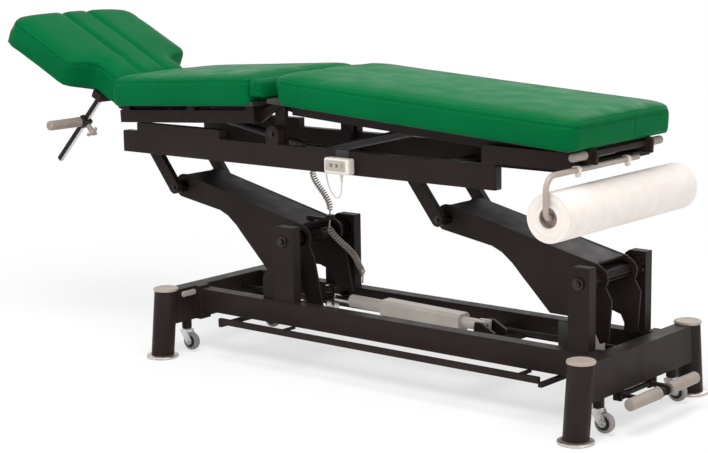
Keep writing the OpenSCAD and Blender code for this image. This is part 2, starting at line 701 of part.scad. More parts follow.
// Middle section: two rails on the beam seats, an end tube, ears at the hinge and battens under the board
mid_rail_z = [28.5, 64];
mid_rail_x = [-585, -60];
mid_rail_w = 26;
mid_board_z = 79;
batten_w = 30;
mid_battens = [-560, -300, -75];
ear_ring = 16;
head_ear_y = 100;
head_axle_r = 6;
mid_lug_x = -420;
mid_lug_z = 40;
lug_gap = 1;
rod_eye_w = 4;
rod_eye_r = 9;
mid_axis = [hinge_up * sin(mid_slope), hinge_up * cos(mid_slope)];
module mid_frame() color(black) placed() in_mid() {
  difference() {
    union() {
      for (sy = sides) mirror([0, sy < 0 ? 1 : 0, 0]) {
        span([mid_rail_x[0], beam_in, mid_rail_z[0]], [mid_rail_x[1], beam_in + mid_rail_w, mid_rail_z[1]]);
        plate_y([[mid_rail_x[1] - 40, mid_rail_z[1]], [mid_rail_x[1] - 40, mid_rail_z[0]], [mid_rail_x[1], mid_rail_z[0]],
          mid_axis + [ear_ring * 0.3, -ear_ring * 0.9], mid_axis - [ear_ring * 0.98, 0], [-board_in, mid_board_z - 3],
          [mid_rail_x[1], mid_rail_z[1]]], mid_ear_y, mid_ear_y + ear_t);
        bar_y(mid_axis[0], mid_axis[1], ear_ring, mid_ear_y, mid_ear_y + ear_t);
        span([mid_rail_x[1] - 40, mid_ear_y + ear_t - over, mid_rail_z[0]], [mid_rail_x[1], beam_in, mid_rail_z[1]]);
        // Ears of the head hinge
        plate_y([[mid_rail_x[0] + batten_w, mid_board_z], [mid_rail_x[0] + batten_w, mid_rail_z[0] + 20],
          [mid_rail_x[0], mid_rail_z[0] + 20], [-mid_l - 10, head_hinge_w - 8],
          [-mid_l - 10, head_hinge_w + 8], [-mid_l + 10, head_hinge_w + 8], [mid_rail_x[0] + 1, mid_board_z]],
          head_ear_y, head_ear_y + ear_t);
      }
      for (x = mid_battens) span([x - batten_w / 2, -beam_y, mid_rail_z[1]], [x + batten_w / 2, beam_y, mid_board_z]);
      span([mid_rail_x[0], -beam_in, mid_rail_z[0] + 6], [mid_rail_x[0] + batten_w, beam_in, mid_rail_z[1]]);
      // Lug of the gas spring
      for (sy = sides) mirror([0, sy < 0 ? 1 : 0, 0])
        span([mid_lug_x - lug_r, rod_eye_w + lug_gap, mid_lug_z - lug_r],
          [mid_lug_x + lug_r, rod_eye_w + lug_gap + lug_plate, mid_rail_z[1]]);
      span([mid_lug_x - lug_r, -beam_in, mid_lug_z + rod_eye_r + 3], [mid_lug_x + lug_r, beam_in, mid_rail_z[1]]);
    }
    bar_y(mid_axis[0], mid_axis[1], hinge_axle_r + run_gap, -beam_in, beam_in);
    bar_y(-mid_l, head_hinge_w, head_axle_r, -head_ear_y - ear_t - over, head_ear_y + ear_t + over);
  }
  bar_y(-mid_l, head_hinge_w, head_axle_r, -head_ear_y - ear_t, head_ear_y + ear_t);
}

module mid_board() color(black) placed() in_mid()
  span([-mid_reach + board_in, -cushion_half + board_in, mid_board_z], [-board_in, cushion_half - board_in, mid_board_z + board_t]);

// Cushion: cross-sections carried along the length, with drawn-in sides, a crown and a rounded foot edge
edge_r = 12;
bulge = 5;
soft_gap = 0.3;
// Height of the top surface over the seam at share v across: the crown less any groove
function groove_dip(v, at, wide) = abs(v - at) >= wide ? 0 : (1 + cos(180 * (v - at) / wide)) / 2;
function crown_at(v, crown, grooves, deep, wide) =
  crown * sqrt(max(0, 1 - v * v)) - deep * max([for (g = concat(grooves, [9])) groove_dip(v, g, wide)]);
// One cross-section: half width w, side height h, crown c
function section_flat(x, w, h, c, grooves, deep, wide, n) = concat(
  [for (k = [0:3]) let (a = 90 * k / 3) [x, w - edge_r + edge_r * sin(a) * 0.9 - edge_r * 0.3, edge_r * (1 - cos(a))]],
  [[x, w - bulge * 0.2, h * 0.45], [x, w - bulge * 0.4, h * 0.75], [x, w - bulge, h * 0.96]],
  [for (k = [0:n]) let (v = 1 - 2 * k / n, s = sin(90 * v)) [x, s * (w - bulge * 1.6), h + crown_at(s, c, grooves, deep, wide)]],
  [[x, -w + bulge, h * 0.96], [x, -w + bulge * 0.4, h * 0.75], [x, -w + bulge * 0.2, h * 0.45]],
  [for (k = [3:-1:0]) let (a = 90 * k / 3) [x, -(w - edge_r + edge_r * sin(a) * 0.9 - edge_r * 0.3), edge_r * (1 - cos(a))]]);
// The same cross-section leaning towards the low end of X by a share of its height
function section_ring(x, w, h, c, grooves, deep, wide, n, slant) =
  [for (p = section_flat(x, w, h, c, grooves, deep, wide, n)) [p[0] - slant * p[2] / h, p[1], p[2]]];
// Closing factor at a distance d from an end with rounding length r
function end_ease(d, r) = d >= r ? 1 : sqrt(max(0, 1 - (1 - d / r) * (1 - d / r)));
module cushion(xs, widths, h, crown, corner, grooves, deep, wide, n, slants = [0, 0]) {
  x0 = xs[0];
  x1 = xs[len(xs) - 1];
  rings = [for (i = [0:len(xs) - 1]) let (d = min(xs[i] - x0, x1 - xs[i]), e = end_ease(d, corner[0]), t = end_ease(d, corner[1]))
    section_ring(xs[i], widths[i] - corner[0] * (1 - e), h * (0.8 + 0.2 * t), crown * t, grooves, deep * t, wide, n,
      slants[0] * max(0, 1 - (xs[i] - x0) / (x1 - x0) * 3) + slants[1] * max(0, 1 - (x1 - xs[i]) / (x1 - x0) * 3))];
  m = len(rings[0]);
  polyhedron([for (r = rings) each r], concat([[for (k = [m - 1:-1:0]) k]],
    [for (i = [0:len(rings) - 2], k = [0:m - 1]) [i * m + k, i * m + (k + 1) % m, (i + 1) * m + k]],
    [for (i = [0:len(rings) - 2], k = [0:m - 1]) [(i + 1) * m + k, i * m + (k + 1) % m, (i + 1) * m + (k + 1) % m]],
    [[for (k = [0:m - 1]) (len(rings) - 1) * m + k]]));
}
// Stations along a cushion: close together at both ends, even between
end_shares = [0, 0.06, 0.2, 0.45, 0.75, 1];
function stations(x0, x1, r, n) = concat([for (s = end_shares) x0 + r * s],
  [for (i = [1:n]) lerp(x0 + r, x1 - r, i / (n + 1))], [for (i = [len(end_shares) - 1:-1:0]) x1 - r * end_shares[i]]);

cushion_gap = 10;
long_start = 46;
long_slant = 20;
mid_corner = 30;
long_corner = 46;
head_corner = 58;
crown_r = 26;
module mid_cushion() color(green) placed() in_mid() translate([0, 0, mid_board_z + board_t + soft_gap]) {
  xs = stations(-mid_reach, -cushion_gap * 2, mid_corner, 8);
  cushion(xs, [for (x = xs) cushion_half], mid_side, 8, [mid_corner, crown_r], [], 0, 1, 14);
}

// Long section
long_board_z = 90;
batten_h = 16;
long_rail_z = [53, 90];
long_rail_y = [118, 143];
long_rail_x = [40, 968];
long_battens = [120, 700, 900];
long_lug_x = 420;
long_lug_z = 58;
long_axis = [-hinge_up * sin(long_slope), hinge_up * cos(long_slope)];
ear_plate_w = 34;
release_x = 957;
release_z = 75;
release_r = 9;
release_half = 204;
release_grip = 58;
release_ear = 15;
module long_frame() color(black) placed() in_long() difference() {
  union() {
    for (sy = sides) mirror([0, sy < 0 ? 1 : 0, 0]) {
      span([long_rail_x[0], long_rail_y[0], long_rail_z[0]], [long_rail_x[1], long_rail_y[1], long_rail_z[1]]);
      plate_y([[long_rail_x[0] + 40, long_rail_z[1]], [long_rail_x[0] + 40, long_rail_z[0]], [long_rail_x[0], long_rail_z[0]],
        long_axis - [0, ear_ring], long_axis + [0, ear_ring * 0.4], [long_rail_x[0], long_rail_z[1]]], long_ear_y - ear_t, long_ear_y);
      bar_y(long_axis[0], long_axis[1], ear_ring, long_ear_y - ear_t, long_ear_y);
      // End ears of the release bar
      span([long_rail_x[1], long_rail_y[0] + 4, long_rail_z[0]], [release_x + release_r + release_ear, long_rail_y[0] + 14, long_rail_z[1] - 2]);
      // Lugs of the gas springs
      span([long_lug_x - lug_r, spring_y + rod_eye_w + lug_gap, long_lug_z - lug_r],
        [long_lug_x + lug_r, spring_y + rod_eye_w + lug_gap + lug_plate, long_rail_z[1]]);
    }
    for (x = concat(long_battens, [long_lug_x]))
      span([x - batten_w / 2, -long_rail_y[0], long_rail_z[1] - batten_h], [x + batten_w / 2, long_rail_y[0], long_rail_z[1]]);
  }
  bar_y(long_axis[0], long_axis[1], hinge_axle_r + run_gap, -beam_in, beam_in);
  bar_y(release_x, release_z, release_r + run_gap, -release_half, release_half);
}

module long_board() color(black) placed() in_long()
  span([board_in, -cushion_half + board_in, long_board_z], [long_l - board_in, cushion_half - board_in, long_board_z + board_t]);

module long_cushion() color(green) placed() in_long() translate([0, 0, long_board_z + board_t + soft_gap]) {
  xs = stations(long_start, long_l, long_corner, 9);
  cushion(xs, [for (x = xs) cushion_half], long_side, 14, [long_corner, crown_r], [], 0, 1, 14, [long_slant, 0]);
}

// Release bar: a tube across the foot end with a grip at each end
grip_over = 2;
module release_bar() color(black) placed() in_long() {
  bar_y(release_x, release_z, release_r, -release_half, release_half);
  for (sy = sides) mirror([0, sy < 0 ? 1 : 0, 0])
    bar_y(release_x, release_z, release_r + grip_over, release_half - release_grip, release_half);
}

// Head section: in its frame X runs from the far end (negative) to the hinge
head_board_z = -25;
head_rail_z = [-51, -25];
head_rail_y = 80;
head_half = 250;
head_hinge_half = 152;
// The neck of the head section widens to full width by a smooth step between two shares of its length
neck_share = 0.25;
step_share = 0.14;
function head_width(x) = let (t = (-x / head_l - neck_share) / step_share)
  head_hinge_half + (head_half - head_hinge_half) * (t < 0 ? 0 : t > 1 ? 1 : (1 - cos(180 * t)) / 2);
module head_frame() color(black) placed() in_head() difference() {
  union() {
    for (sy = sides) mirror([0, sy < 0 ? 1 : 0, 0]) {
      span([-head_l * 0.82, head_rail_y - 10, head_rail_z[0]], [-24, head_rail_y + 10, head_rail_z[1]]);
      plate_y([[-board_in * 3, head_rail_z[0]], [-board_in * 3, head_rail_z[1]], [-board_in * 0.9, head_rail_z[1]],
        [-board_in * 0.5, head_axle_r * 2], [head_axle_r * 1.6, head_axle_r * 1.4], [head_axle_r * 2, -head_axle_r],
        [0, -head_axle_r * 2.5], [-board_in * 1.5, head_rail_z[0] + head_axle_r]],
        head_ear_y - ear_t - ear_gap, head_ear_y - ear_gap);
    }
    for (x = [-head_l * 0.75, -70]) span([x - 15, -head_ear_y + 1, head_rail_z[0] + 4], [x + 15, head_ear_y - 1, head_rail_z[1]]);
    // Socket of the hand grip bar
    span([socket_x - socket_half, -socket_y - socket_half, head_rail_z[0] + 4],
      [socket_x + socket_half, -head_rail_y, head_rail_z[1]]);
  }
  bar_y(0, 0, head_axle_r + run_gap, -head_ear_y - over, head_ear_y + over);
}
socket_y = 130;
socket_x = -112;
socket_half = 18;

module head_board() color(black) placed() in_head() linear_extrude_board();
board_steps = 30;
module linear_extrude_board()
  translate([0, 0, head_board_z]) linear_extrude(board_t) polygon(concat(
    [for (i = [0:board_steps]) let (x = -board_in - (head_l - board_in * 2) * i / board_steps) [x, head_width(x) - board_in]],
    [for (i = [board_steps:-1:0]) let (x = -board_in - (head_l - board_in * 2) * i / board_steps) [x, -head_width(x) + board_in]]));

groove_share = 0.2;
groove_deep = 9;
head_slant = 38;
groove_wide_share = 0.06;
module head_cushion() color(green) placed() in_head() translate([0, 0, head_board_z + board_t + soft_gap]) {
  xs = stations(-head_l, -board_in - head_axle_r, head_corner, 22);
  cushion(xs, [for (x = xs) head_width(x)], head_side, 12, [head_corner, crown_r], [-groove_share, groove_share],
    groove_deep, groove_wide_share, 26, [0, head_slant]);
}

// Hand grip: a square bar below the head section, a sliding clamp with a round grip, and its knob
grip_bar_l = 268;
grip_bar_half = 8;
grip_lean = 44;
grip_top = [socket_x, -socket_y, head_rail_z[0] + 4];
module on_grip_bar() in_head() translate(grip_top) rotate([0, grip_lean - head_rise, 0]) children();
clamp_down = 98;
clamp_half = 15;
clamp_h = 26;
clamp_slip = 0.4;
grip_r = 15;
grip_l = 125;
knob_r = 5;
module grip_bar() color(zinc) placed() on_grip_bar()
  difference() {
    span([-grip_bar_half, -grip_bar_half, -grip_bar_l], [grip_bar_half, grip_bar_half, grip_bar_half]);
    rotate([0, -grip_lean + head_rise, 0]) span([-grip_bar_l, -grip_bar_l, 0], [grip_bar_l, grip_bar_l, grip_bar_l]);
  }
module grip_clamp() color(taupe) placed() on_grip_bar() translate([0, 0, -clamp_down]) {
  difference() {
    span([-clamp_half, -clamp_half, -clamp_h / 2], [clamp_half, clamp_half, clamp_h / 2]);
    span([-grip_bar_half - clamp_slip, -grip_bar_half - clamp_slip, -clamp_h], [grip_bar_half + clamp_slip, grip_bar_half + clamp_slip, clamp_h]);
    bar_x(0, 0, knob_r + run_gap, 0, clamp_half + over);
  }
  bar_y(0, 0, grip_r, -clamp_half - grip_l, -clamp_half);
}
knob_stem = 26;
knob_hub = 9;
knob_lobe = 21;
knob_t = 9;
knob_steps = 36;
// Outline of the knob: three lobes about a round hub
function knob_reach(a) = knob_hub + (knob_lobe - knob_hub) * pow(cos(1.5 * a), 2);
module clamp_knob() color(taupe) placed() on_grip_bar() translate([0, 0, -clamp_down]) {
  bar_x(0, 0, knob_r, grip_bar_half + clamp_slip + 0.2, clamp_half + knob_stem + knob_t / 2);
  translate([clamp_half + knob_stem, 0, 0]) rotate([0, 90, 0]) linear_extrude(knob_t)
    polygon([for (k = [0:knob_steps - 1]) let (a = k * 360 / knob_steps, r = knob_reach(a)) [-r * cos(a), r * sin(a)]]);
}

// Gas springs: tube pinned to the upper frame, rod beside the lug of its section
spring_tube_r = 11;
spring_rod_r = 5;
function turn(p, a) = [p[0] * cos(a) + p[1] * sin(a), -p[0] * sin(a) + p[1] * cos(a)];
long_spring_top = [-hinge_back, hinge_z] + turn([long_lug_x, long_lug_z], long_slope);
mid_spring_top = [-hinge_back, hinge_z] + turn([mid_lug_x, mid_lug_z], -mid_slope);
module spring_axis(foot, top) {
  v = top - foot;
  translate([foot[0], 0, foot[1]]) rotate([0, -atan2(v[1], v[0]), 0]) children();
}
spring_start = 18;
rod_show = 46;
rod_inside = 240;
module spring_tube(y, l) difference() {
  union() {
    bar_x(y, 0, spring_tube_r, spring_start, l - rod_show);
    bar_y(0, 0, spring_tube_r * 0.9, y - eye_w, y + eye_w);
    span([0, y - eye_w, -spring_tube_r * 0.6], [spring_start + over, y + eye_w, spring_tube_r * 0.6]);
  }
  bar_y(0, 0, spring_pin_r + run_gap, y - eye_w - over, y + eye_w + over);
  bar_x(y, 0, spring_rod_r + run_gap, spring_start + 12, l);
}
module spring_rod(y, l, inside) {
  bar_x(y, 0, spring_rod_r, l - inside, l - rod_eye_r + 1);
  bar_y(l, 0, rod_eye_r, y - rod_eye_w, y + rod_eye_w);
}
long_spring_l = norm(long_spring_top - long_spring_foot);
mid_spring_l = norm(mid_spring_top - mid_spring_foot);
module long_spring_tubes() color(black) placed() spring_axis(long_spring_foot, long_spring_top)
  for (y = [-spring_y, spring_y]) spring_tube(y, long_spring_l);
module long_spring_rods() color(zinc) placed() spring_axis(long_spring_foot, long_spring_top)
  for (y = [-spring_y, spring_y]) spring_rod(y, long_spring_l, rod_inside);
module mid_spring_tube() color(black) placed() spring_axis(mid_spring_foot, mid_spring_top) spring_tube(0, mid_spring_l);
module mid_spring_rod() color(zinc) placed() spring_axis(mid_spring_foot, mid_spring_top) spring_rod(0, mid_spring_l, rod_inside);

// Foot bar round the base: it tips on the hangers when pressed
foot_bar_y = 213;
foot_bar_z = 106;
foot_bar_h = 16;
foot_bar_w = 12;
foot_bar_x = [-520, 540];
foot_slip = 0.3;
foot_arm_t = 12;
hanger_xs = [-300, 470];
module foot_bar() color(black) placed() difference() {
  union() {
    for (sy = sides) mirror([0, sy < 0 ? 1 : 0, 0])
      span([foot_bar_x[0], foot_bar_y - foot_bar_w, foot_bar_z], [foot_bar_x[1], foot_bar_y, foot_bar_z + foot_bar_h]);
    for (x = foot_bar_x) span([x, -foot_bar_y, foot_bar_z - foot_bar_h * 0.5], [x + foot_arm_t, foot_bar_y, foot_bar_z + 4]);
  }
}
module bar_hangers() color(black) placed()
  for (sy = sides, x = hanger_xs) mirror([0, sy < 0 ? 1 : 0, 0]) {
    span([x, side_y - 4, side_z - 6], [x + foot_arm_t, foot_bar_y - foot_bar_w - foot_slip, side_z]);
  }

// Caster beams ride inside the crossbeams; each carries two posts
post_low = 66;
module caster_beam(ex) difference() {
  union() {
    span([-carrier_w / 2, -caster_y - caster_post_r, carrier_z], [carrier_w / 2, caster_y + caster_post_r, carrier_z + carrier_h]);
    for (sy = sides) translate([0, sy * caster_y, post_low]) cylinder(r = caster_post_r, h = carrier_z - post_low + over);
  }
  for (sy = sides) translate([0, sy * caster_y, post_low - over]) cylinder(r = stem_r + run_gap, h = stem_l + over);
}
stem_r = 5;
stem_l = 26;
module head_caster_beam() color(black) placed() translate([-caster_x, 0, 0]) caster_beam(-1);
module foot_caster_beam() color(black) placed() translate([caster_x, 0, 0]) caster_beam(1);

// Link that moves the head casters with the pedal
module caster_link() color(black) placed() bar_x(link_y, link_z, link_r, -leg_x, leg_x);

// Pedal: an axle below the foot crossbeam, two levers and a cross bar with two grips
pedal_x = 760;
pedal_z = 78;
pedal_half = 158;
pedal_core = 8;
pedal_grip_r = 16;
pedal_gap = 20;
lever_w = 14;
lever_t = 8;
toe_w = 40;
module pedal() color(taupe) placed() {
  bar_y(pedal_axle_x, pedal_axle_z, pedal_axle_r, pedal_lugs[0] - lug_t - 6, pedal_lugs[1] + 6);
  for (y = [pedal_lugs[0] + 4, pedal_lugs[1] - lug_t - 14])
    span([pedal_axle_x, y, pedal_axle_z - lever_t / 2], [pedal_x, y + lever_w, pedal_axle_z + lever_t / 2]);
  bar_y(pedal_x, pedal_z, pedal_core, -pedal_half, pedal_half);
  for (sy = sides) mirror([0, sy < 0 ? 1 : 0, 0]) bar_y(pedal_x, pedal_z, pedal_grip_r, pedal_gap, pedal_half);
}

// Casters: a zinc fork that swivels on its stem and a wheel
wheel_z = wheel_r + wheel_lift;
fork_t = 2.5;
fork_cap = 5;
fork_slip = 0.4;
fork_in = wheel_w / 2 + 1;
wheel_pin_r = 3;
module fork() difference() {
  union() {
    translate([0, 0, -fork_cap]) cylinder(r = stem_r, h = stem_l + fork_cap - 1);
    translate([0, 0, -fork_cap]) cylinder(r = caster_post_r, h = fork_cap - fork_slip);
    for (sy = sides) mirror([0, sy < 0 ? 1 : 0, 0]) {
      translate([0, fork_in + fork_t, 0]) rotate([90, 0, 0]) linear_extrude(fork_t)
        polygon([[-12, -4], [12, -4], [trail + 8, wheel_z - post_low - 4], [trail, wheel_z - post_low - 9], [trail - 8, wheel_z - post_low - 4]]);
    }
    translate([-12, -fork_in - fork_t, -6]) cube([24, (fork_in + fork_t) * 2, 2.2]);
  }
}
module fork_at(ex, sy) color(zinc) placed() translate([ex * caster_x, sy * caster_y, post_low]) {
  fork();
  bar_y(trail, wheel_z - post_low, wheel_pin_r, -fork_in - 1, fork_in + 1);
}
module wheel_at(ex, sy) color(tyre_grey) placed() translate([ex * caster_x + trail, sy * caster_y, wheel_z]) difference() {
  rotate([90, 0, 0]) rotate_extrude() polygon([[0, -wheel_w / 2], [wheel_r - 4, -wheel_w / 2], [wheel_r, -wheel_w / 2 + 5],
    [wheel_r, wheel_w / 2 - 5], [wheel_r - 4, wheel_w / 2], [0, wheel_w / 2]]);
  bar_y(0, 0, wheel_pin_r + run_gap, -wheel_w, wheel_w);
}
module fork_head_near() fork_at(-1, -1);
module fork_head_far() fork_at(-1, 1);
module fork_foot_near() fork_at(1, -1);
module fork_foot_far() fork_at(1, 1);
module wheel_head_near() wheel_at(-1, -1);
module wheel_head_far() wheel_at(-1, 1);
module wheel_foot_near() wheel_at(1, -1);
module wheel_foot_far() wheel_at(1, 1);

legs();
leg_caps();
foot_rings();
head_crossbeam();
foot_crossbeam();
side_beams();
head_uprights();
foot_uprights();
pivot_axles();
control_box();
actuator_bracket();
bar_hangers();
head_arm();
foot_arm();
main_beams();
cross_members();
hangers();
hinge_posts();
end_rails();
frame_clips();
roll_holder();
paper_roll();
handset();
up_button();
down_button();
handset_cable();
curly_cord_lower();
curly_cord_upper();
mid_frame();
mid_board();
mid_cushion();
long_frame();
long_board();
long_cushion();
release_bar();
head_frame();
head_board();
head_cushion();
grip_bar();
grip_clamp();
clamp_knob();
actuator_body();
actuator_rod();
long_spring_tubes();
long_spring_rods();
mid_spring_tube();
mid_spring_rod();
foot_bar();
head_caster_beam();
foot_caster_beam();
pedal();
caster_link();
fork_head_near();
fork_head_far();
fork_foot_near();
fork_foot_far();
wheel_head_near();
wheel_head_far();
wheel_foot_near();
wheel_foot_far();
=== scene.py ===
"""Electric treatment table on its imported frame.

Lengths are in millimetres about the middle of the base, as in the part's source, until place()
turns them into metres in the shared frame.
"""

from math import cos, pi, radians, sin

import bmesh
import bpy
import numpy as np
from mathutils import Matrix, Vector
from mathutils.bvhtree import BVHTree


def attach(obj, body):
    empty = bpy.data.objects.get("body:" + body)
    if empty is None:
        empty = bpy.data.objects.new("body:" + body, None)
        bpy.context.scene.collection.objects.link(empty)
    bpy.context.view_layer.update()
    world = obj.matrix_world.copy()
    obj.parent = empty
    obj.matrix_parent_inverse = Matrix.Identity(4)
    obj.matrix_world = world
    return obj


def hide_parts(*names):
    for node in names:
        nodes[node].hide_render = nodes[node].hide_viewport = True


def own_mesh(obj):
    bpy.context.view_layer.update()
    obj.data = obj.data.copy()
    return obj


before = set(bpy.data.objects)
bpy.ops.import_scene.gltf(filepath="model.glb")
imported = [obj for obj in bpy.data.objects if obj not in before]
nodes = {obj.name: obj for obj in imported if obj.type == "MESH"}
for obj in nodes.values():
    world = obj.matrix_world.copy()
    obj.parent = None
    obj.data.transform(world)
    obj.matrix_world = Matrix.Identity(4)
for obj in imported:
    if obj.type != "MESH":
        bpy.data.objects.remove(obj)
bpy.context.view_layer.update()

MM = 0.001
BASE_X = 292
RENDER_LEVELS = 1
MERGE = 1e-6


# ---- Places ----

def place(points):
    """Millimetres about the middle of the base to metres in the shared frame."""
    return (np.asarray(points, float) + [BASE_X, 0, 0]) * MM


def turned(points, degrees):
    """Points turned about the Y axis."""
    p = np.asarray(points, float)
    c, s = cos(radians(degrees)), sin(radians(degrees))
    return np.stack([p[..., 0] * c + p[..., 2] * s, p[..., 1], p[..., 2] * c - p[..., 0] * s], -1)


HINGE = np.array([-335, 0, 645])
MID_SLOPE, LONG_SLOPE, HEAD_RISE = 3.3, 3.73, 26
HEAD_HINGE = np.array([-600, 0, 78])


def in_mid(points):
    """Points of the middle section's own frame."""
    return turned(points, -MID_SLOPE) + HINGE


def in_long(points):
    """Points of the long section's own frame."""
    return turned(points, LONG_SLOPE) + HINGE


def in_head(points):
    """Points of the head section's own frame."""
    return in_mid(turned(points, MID_SLOPE + HEAD_RISE) + HEAD_HINGE)


GRIP_TOP = np.array([-112, -130, -47])
GRIP_LEAN = 44


def on_grip(points):
    """Points along the hand grip's square bar."""
    return in_head(turned(points, GRIP_LEAN - HEAD_RISE) + GRIP_TOP)


# ---- Surfaces ----

def unit(v):
    """Vectors of length one."""
    v = np.asarray(v, float)
    return v / np.linalg.norm(v, axis=-1, keepdims=True)


def angles(n):
    """Even steps round a circle."""
    return np.linspace(0, 2 * pi, n, endpoint=False)


def skin(rings, capped=True):
    """Vertices and faces of closed rings joined by quads, with a fan over each end ring."""
    r = np.asarray(rings, float)
    n, m = r.shape[:2]
    i, k = np.meshgrid(np.arange(n - 1), np.arange(m), indexing="ij")
    i2, k2 = i + 1, (k + 1) % m
    faces = np.stack([i * m + k, i * m + k2, i2 * m + k2, i2 * m + k], -1).reshape(-1, 4).tolist()
    verts = r.reshape(-1, 3)
    if capped:
        verts = np.vstack([verts, r[0].mean(0), r[-1].mean(0)])
        k = np.arange(m)
        k2 = (k + 1) % m
        faces += np.stack([k2, k, np.full(m, n * m)], -1).tolist()
        last = (n - 1) * m
        faces += np.stack([last + k, last + k2, np.full(m, n * m + 1)], -1).tolist()
    return verts, faces


def sweep(path, radius, sides, up):
    """Rings of a tube: a circle across the path at each point, of one radius or one for each."""
    p = np.asarray(path, float)
    d = unit(np.gradient(p, axis=0))
    a = unit(np.cross(d, up))
    b = np.cross(a, d)
    w = angles(sides)
    r = np.broadcast_to(radius, len(p))[:, None, None]
    return p[:, None] + r * (np.cos(w)[:, None] * a[:, None] + np.sin(w)[:, None] * b[:, None])


def lathe(profile, axis, sides):
    """Rings of a form turned about an axis: a profile point is a radius and a place along it."""
    p = np.asarray(profile, float)
    w = angles(sides)
    c, s = p[:, :1] * np.cos(w), p[:, :1] * np.sin(w)
    h = np.repeat(p[:, 1:], sides, 1)
    order = {"x": (h, c, s), "y": (c, h, s), "z": (c, s, h)}[axis]
    return np.stack(order, -1)


def outline_in(outline, by):
    """A closed outline moved inwards along the mean normals of its sides."""
    o = np.asarray(outline, float)
    e1, e2 = unit(o - np.roll(o, 1, 0)), unit(np.roll(o, -1, 0) - o)
    n1, n2 = np.stack([-e1[:, 1], e1[:, 0]], 1), np.stack([-e2[:, 1], e2[:, 0]], 1)
    mean = unit(n1 + n2)
    return o + mean * (by / np.maximum(0.4, (mean * n1).sum(1)))[:, None]


def rounded(wide, high, r, n=6):
    """Outline of a rectangle with round corners about its middle, anticlockwise."""
    w = np.linspace(0, pi / 2, n)
    arc = np.stack([np.cos(w), np.sin(w)], 1) * r
    out = []
    for k, (sx, sy) in enumerate([(1, 1), (-1, 1), (-1, -1), (1, -1)]):
        turn = k * pi / 2
        rot = np.array([[cos(turn), sin(turn)], [-sin(turn), cos(turn)]])
        out.append(arc @ rot + [sx * (wide / 2 - r), sy * (high / 2 - r)])
    return np.vstack(out)


EDGE_STEPS = 4


def prism(outline, low, high, edge, axis):
    """Rings of a plate: the outline carried along an axis, its rim rounded at both ends."""
    o = np.asarray(outline, float)
    w = np.linspace(0, pi / 2, EDGE_STEPS)
    ins = np.concatenate([edge * (1 - np.sin(w)), edge * (1 - np.cos(w))])
    lev = np.concatenate([low + edge * (1 - np.cos(w)), high - edge * (1 - np.sin(w))])
    rings = []
    for d, z in zip(ins, lev):
        q = outline_in(o, d)
        h = np.full(len(q), z)
        rings.append(np.stack({"x": (h, q[:, 0], q[:, 1]), "y": (q[:, 0], h, q[:, 1]),
                               "z": (q[:, 0], q[:, 1], h)}[axis], -1))
    return np.array(rings)


def spline(points, n):
    """Smooth line through points: Catmull-Rom pieces, n samples in all."""
    p = np.asarray(points, float)
    m = len(p) - 1
    t = np.linspace(0, m, n)
    s = np.minimum(t.astype(int), m - 1)
    f = (t - s)[:, None]
    a, b, c, d = p[np.maximum(s - 1, 0)], p[s], p[s + 1], p[np.minimum(s + 2, m)]
    return 0.5 * (2 * b + (c - a) * f + (2 * a - 5 * b + 4 * c - d) * f ** 2
                  + (3 * b - a - 3 * c + d) * f ** 3)


def lengths(line):
    """Distance along a line at each of its points."""
    return np.concatenate([[0], np.cumsum(np.linalg.norm(np.diff(line, axis=0), axis=1))])


def resampled(line, s, at):
    """A line's points at given distances along it; s holds the distances of its own points."""
    return np.stack([np.interp(at, s, line[:, k]) for k in range(3)], 1)


def joined(parts):
    """Several sets of vertices and faces as one."""
    verts, faces, start = [], [], 0
    for v, f in parts:
        verts.append(np.asarray(v))
        faces += [[i + start for i in face] for face in f]
        start += len(v)
    return np.vstack(verts), faces


def linked(name, data):
    """A new object in the scene."""
    obj = bpy.data.objects.new(name, data)
    bpy.context.scene.collection.objects.link(obj)
    return obj


def mended(mesh):
    """The mesh's doubles merged and its faces turned outwards."""
    work = bmesh.new()
    work.from_mesh(mesh)
    bmesh.ops.remove_doubles(work, verts=work.verts, dist=MERGE)
    bmesh.ops.recalc_face_normals(work, faces=work.faces)
    work.to_mesh(mesh)
    work.free()


def piece(name, parts, finish, body, stands_for=(), smooth=35, to=place, slot=None):
    """An object of the parts on its body, with its finish; the slot, given or that finish's, is
    worked out but not used. Edges sharper than the smooth angle stay crisp."""
    verts, faces = joined(parts)
    mesh = bpy.data.meshes.new(name)
    mesh.from_pydata(to(verts).tolist(), [], faces)
    mended(mesh)
    mesh.polygons.foreach_set("use_smooth", np.ones(len(mesh.polygons), bool))
    mesh.set_sharp_from_angle(angle=radians(smooth))
    obj = linked(name, mesh)
    mesh.materials.append(MAT[finish])
    if stands_for:
        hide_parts(*stands_for)
    slot = slot or SLOTS.get(finish)
    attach(obj, body)
    return obj


# ---- Materials ----

def add(tree, kind, links=(), **values):
    """A node with sockets set by name and links from other outputs."""
    n = tree.nodes.new(kind)
    for key, value in values.items():
        if hasattr(n, key):
            setattr(n, key, value)
        else:
            n.inputs[key.replace("_", " ")].default_value = value
    for socket, source in links:
        tree.links.new(source, n.inputs[socket])
    return n


def coordinates(tree, stretch=(1, 1, 1)):
    """Object coordinates, stretched along the axes."""
    tex = add(tree, "ShaderNodeTexCoord")
    return add(tree, "ShaderNodeMapping", [("Vector", tex.outputs["Object"])],
               Scale=stretch).outputs["Vector"]


def noise(tree, scale, detail=3.0, stretch=(1, 1, 1)):
    """Noise on object coordinates."""
    return add(tree, "ShaderNodeTexNoise", [("Vector", coordinates(tree, stretch))], Scale=scale,
               Detail=detail).outputs["Fac"]


NOISE_LOW, NOISE_HIGH = 0.3, 0.7


